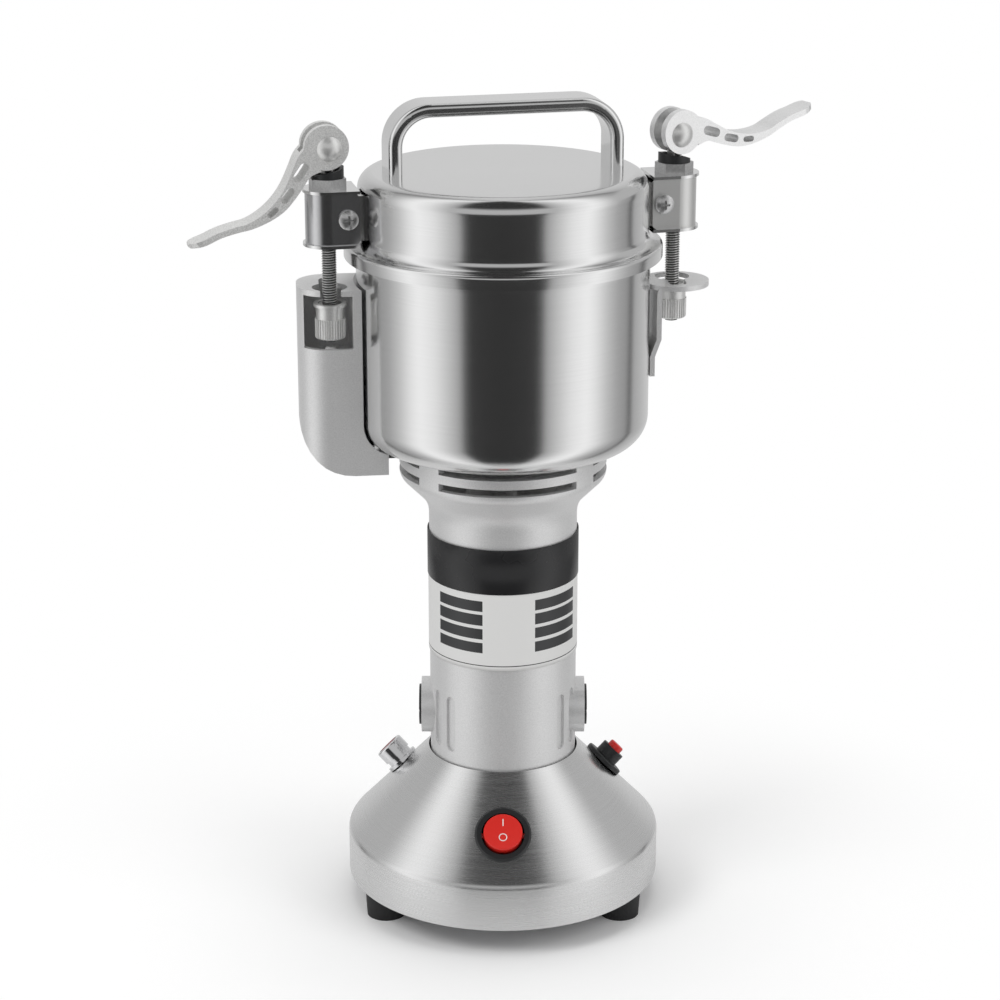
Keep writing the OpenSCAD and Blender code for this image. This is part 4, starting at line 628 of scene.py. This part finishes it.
def lid_side(inset):
    rim_r = LID_RIM_R - RIM_BEND
    return ([(LID_RIM_R - inset, LID_LOW)]
            + arc(rim_r, LID_RIM_TOP - RIM_BEND, RIM_BEND - inset, 0, 90, 8)
            + arc(rim_r, LID_RIM_TOP + STEP_BEND, STEP_BEND + inset, 270, 180, 12)
            + arc(LID_R - TOP_BEND, LID_TOP - TOP_BEND, TOP_BEND - inset, 0, 90, 16)
            + [(AXIS_GAP, LID_TOP - inset)])


lid = lathe("pressed_lid", finer(lid_side(0) + lid_side(SHEET)[::-1]), M["lid"], "lid")
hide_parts("lid_shell")


# Label: black header, white panel with plain dark cells and a thin rule, fields of one sheet
def label_field(angle, z):
    if z > HEADER_LOW:
        return HEADER
    if RULE[0] < z < RULE[1]:
        return CELL
    in_column = any(start < angle < stop for start, stop in CELLS)
    in_row = any(low < z < high for low, high in ROWS)
    return CELL if in_column and in_row else PANEL


def midpoints(values):
    return [(a + b) / 2 for a, b in zip(values, values[1:])]


steps = int(2 * LABEL_HALF_ANGLE / LABEL_STEP)
angles = {LABEL_STEP * i - LABEL_HALF_ANGLE for i in range(steps + 1)}
angles = sorted(angles | {a for cell in CELLS for a in cell})
heights = {LABEL_LOW, LABEL_HIGH, HEADER_LOW, HEADER_LOW - HEADER_LIFT, *RULE}
heights = sorted(heights | {z for row in ROWS for z in row})
points = []
for z in heights:
    r = LABEL_R + (HEADER_LIFT if z >= HEADER_LOW else 0.0)
    for a in angles:
        t = math.radians(a - 90)
        points.append((r * math.cos(t), r * math.sin(t), z))
faces = quads(len(heights), len(angles), closed_row=False)
fields = [label_field(a, z) for z in midpoints(heights) for a in midpoints(angles)]
label = mesh_object("label_sheet", points, faces, [M["panel"], M["header"], M["cell"]], "mill",
                    LABEL_SHARP)
for polygon, field in zip(label.data.polygons, fields):
    polygon.material_index = field
thick = label.modifiers.new("thickness", "SOLIDIFY")
thick.thickness = LABEL_SHEET * MM
thick.offset = -1
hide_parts("label_plate")


# Clamp rods with real threads and a flat eye
def thread_radius(z, turned, low, top):
    """The radius of the thread at a height and a share of the turn. It runs out at both ends."""
    full = min(1.0, (z - low) / RUN_IN, (top - z) / RUN_OUT)
    phase = (z - turned * PITCH) % PITCH / PITCH
    depth = THREAD_DEPTH * abs(phase - 0.5) * 2
    return ROD_R - depth * full - (1 - full) * END_BEVEL


def caps(rows, start=0):
    """The two ends of a tube whose rows have one point for each side of the rod."""
    last = start + (rows - 1) * ROD_SIDES
    return [tuple(range(start, start + ROD_SIDES))[::-1], tuple(range(last, last + ROD_SIDES))]


def rod(side, azimuth, swivel, nut_drop, pin):
    rod_x = ROD_AT_R * math.cos(math.radians(azimuth))
    rod_y = ROD_AT_R * math.sin(math.radians(azimuth))
    low, top = BOWL_RIM - nut_drop - NUT_LEN - ROD_PAST_NUT, pin - NECK_LOW
    turns = [i / ROD_SIDES for i in range(ROD_SIDES)]
    rings = int((top - low) * RINGS_PER_MM) + 2
    points = []
    for j in range(rings):
        z = min(low + j / RINGS_PER_MM, top)
        for turned in turns:
            t = 2 * PI * turned
            r = thread_radius(z, turned, low, top)
            points.append((rod_x + r * math.cos(t), rod_y + r * math.sin(t), z))
    faces = quads(rings, ROD_SIDES) + caps(rings)

    # Neck with two flats, and the eye: a flat disc with rounded edges on the pin's axis
    u = math.radians(azimuth + swivel)

    def turned_point(along, across, z):
        return (rod_x + math.cos(u) * along - math.sin(u) * across,
                rod_y + math.sin(u) * along + math.cos(u) * across, z)

    start = len(points)
    neck = ((top, NECK_R), (pin - FLAT_LOW, NECK_HALF), (pin - NECK_HIGH, NECK_HALF))
    for z, half in neck:
        for turned in turns:
            t = 2 * PI * turned
            across = max(-half, min(half, NECK_R * math.sin(t)))
            points.append(turned_point(NECK_R * math.cos(t), across, z))
    faces += quads(len(neck), ROD_SIDES, start) + caps(len(neck), start)

    start = len(points)
    edge_r, edge_w = EYE_R - EYE_EDGE, EYE_HALF - EYE_EDGE
    outline = ([(EYE_BORE_R, -EYE_HALF)]
               + arc(edge_r, -edge_w, EYE_EDGE, -90, 0, 3)
               + arc(edge_r, edge_w, EYE_EDGE, 0, 90, 3)
               + [(EYE_BORE_R, EYE_HALF)])
    for i in range(EYE_STEPS):
        t = 2 * PI * i / EYE_STEPS
        points += [turned_point(r * math.cos(t), w, pin + r * math.sin(t)) for r, w in outline]
    faces += quads(EYE_STEPS, len(outline), start, closed_rows=True)

    material = M[side + "_thread"]
    obj = mesh_object(side + "_threaded_rod", points, faces, [material], side + "_clamp", ROD_SHARP)
    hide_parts(side + "_rod")


# Side, azimuth, swivel at rest, drop of the nut below the bowl's rim, height of the pin
rod("left", LEFT_AZIMUTH, 1.6, 18, 322.168)
rod("right", RIGHT_AZIMUTH, 18.0, 17.4, 321.596)


# Switch marks: a bar and a ring lying on the dished face of the rocker
def on_rocker(x, y):
    z = ROCKER_RISE + PIVOT_DROP + DISH_R - DISH - math.sqrt(DISH_R ** 2 - x ** 2) + MARK_LIFT
    t = math.radians(-ROCKER_TILT)
    x, z = x * math.cos(t) + z * math.sin(t), -x * math.sin(t) + z * math.cos(t) - PIVOT_DROP
    out = SWITCH_AT_R + x * math.cos(TILT) + z * math.sin(TILT)
    up = cone_height(SWITCH_AT_R) - x * math.sin(TILT) + z * math.cos(TILT)
    return (y, -out, up)


def mark(name, rows):
    """A thin print: rows of (x, y) on the rocker's face, joined in a strip."""
    points = [on_rocker(x, y) for row in rows for x, y in row]
    faces = quads(len(rows), len(rows[0]), closed_row=False, flip=True)
    obj = mesh_object(name, points, faces, [M["white"]], "rocker")


bar = [BAR_START + BAR_STEP * i for i in range(BAR_POINTS)]
mark("mark_on", [[(x, y) for x in bar] for y in (-BAR_HALF, BAR_HALF)])
mark("mark_off", [[(RING_AT + x, y) for x, y in arc(0, 0, r, 0, 360, RING_STEPS)] for r in RING_RADII])
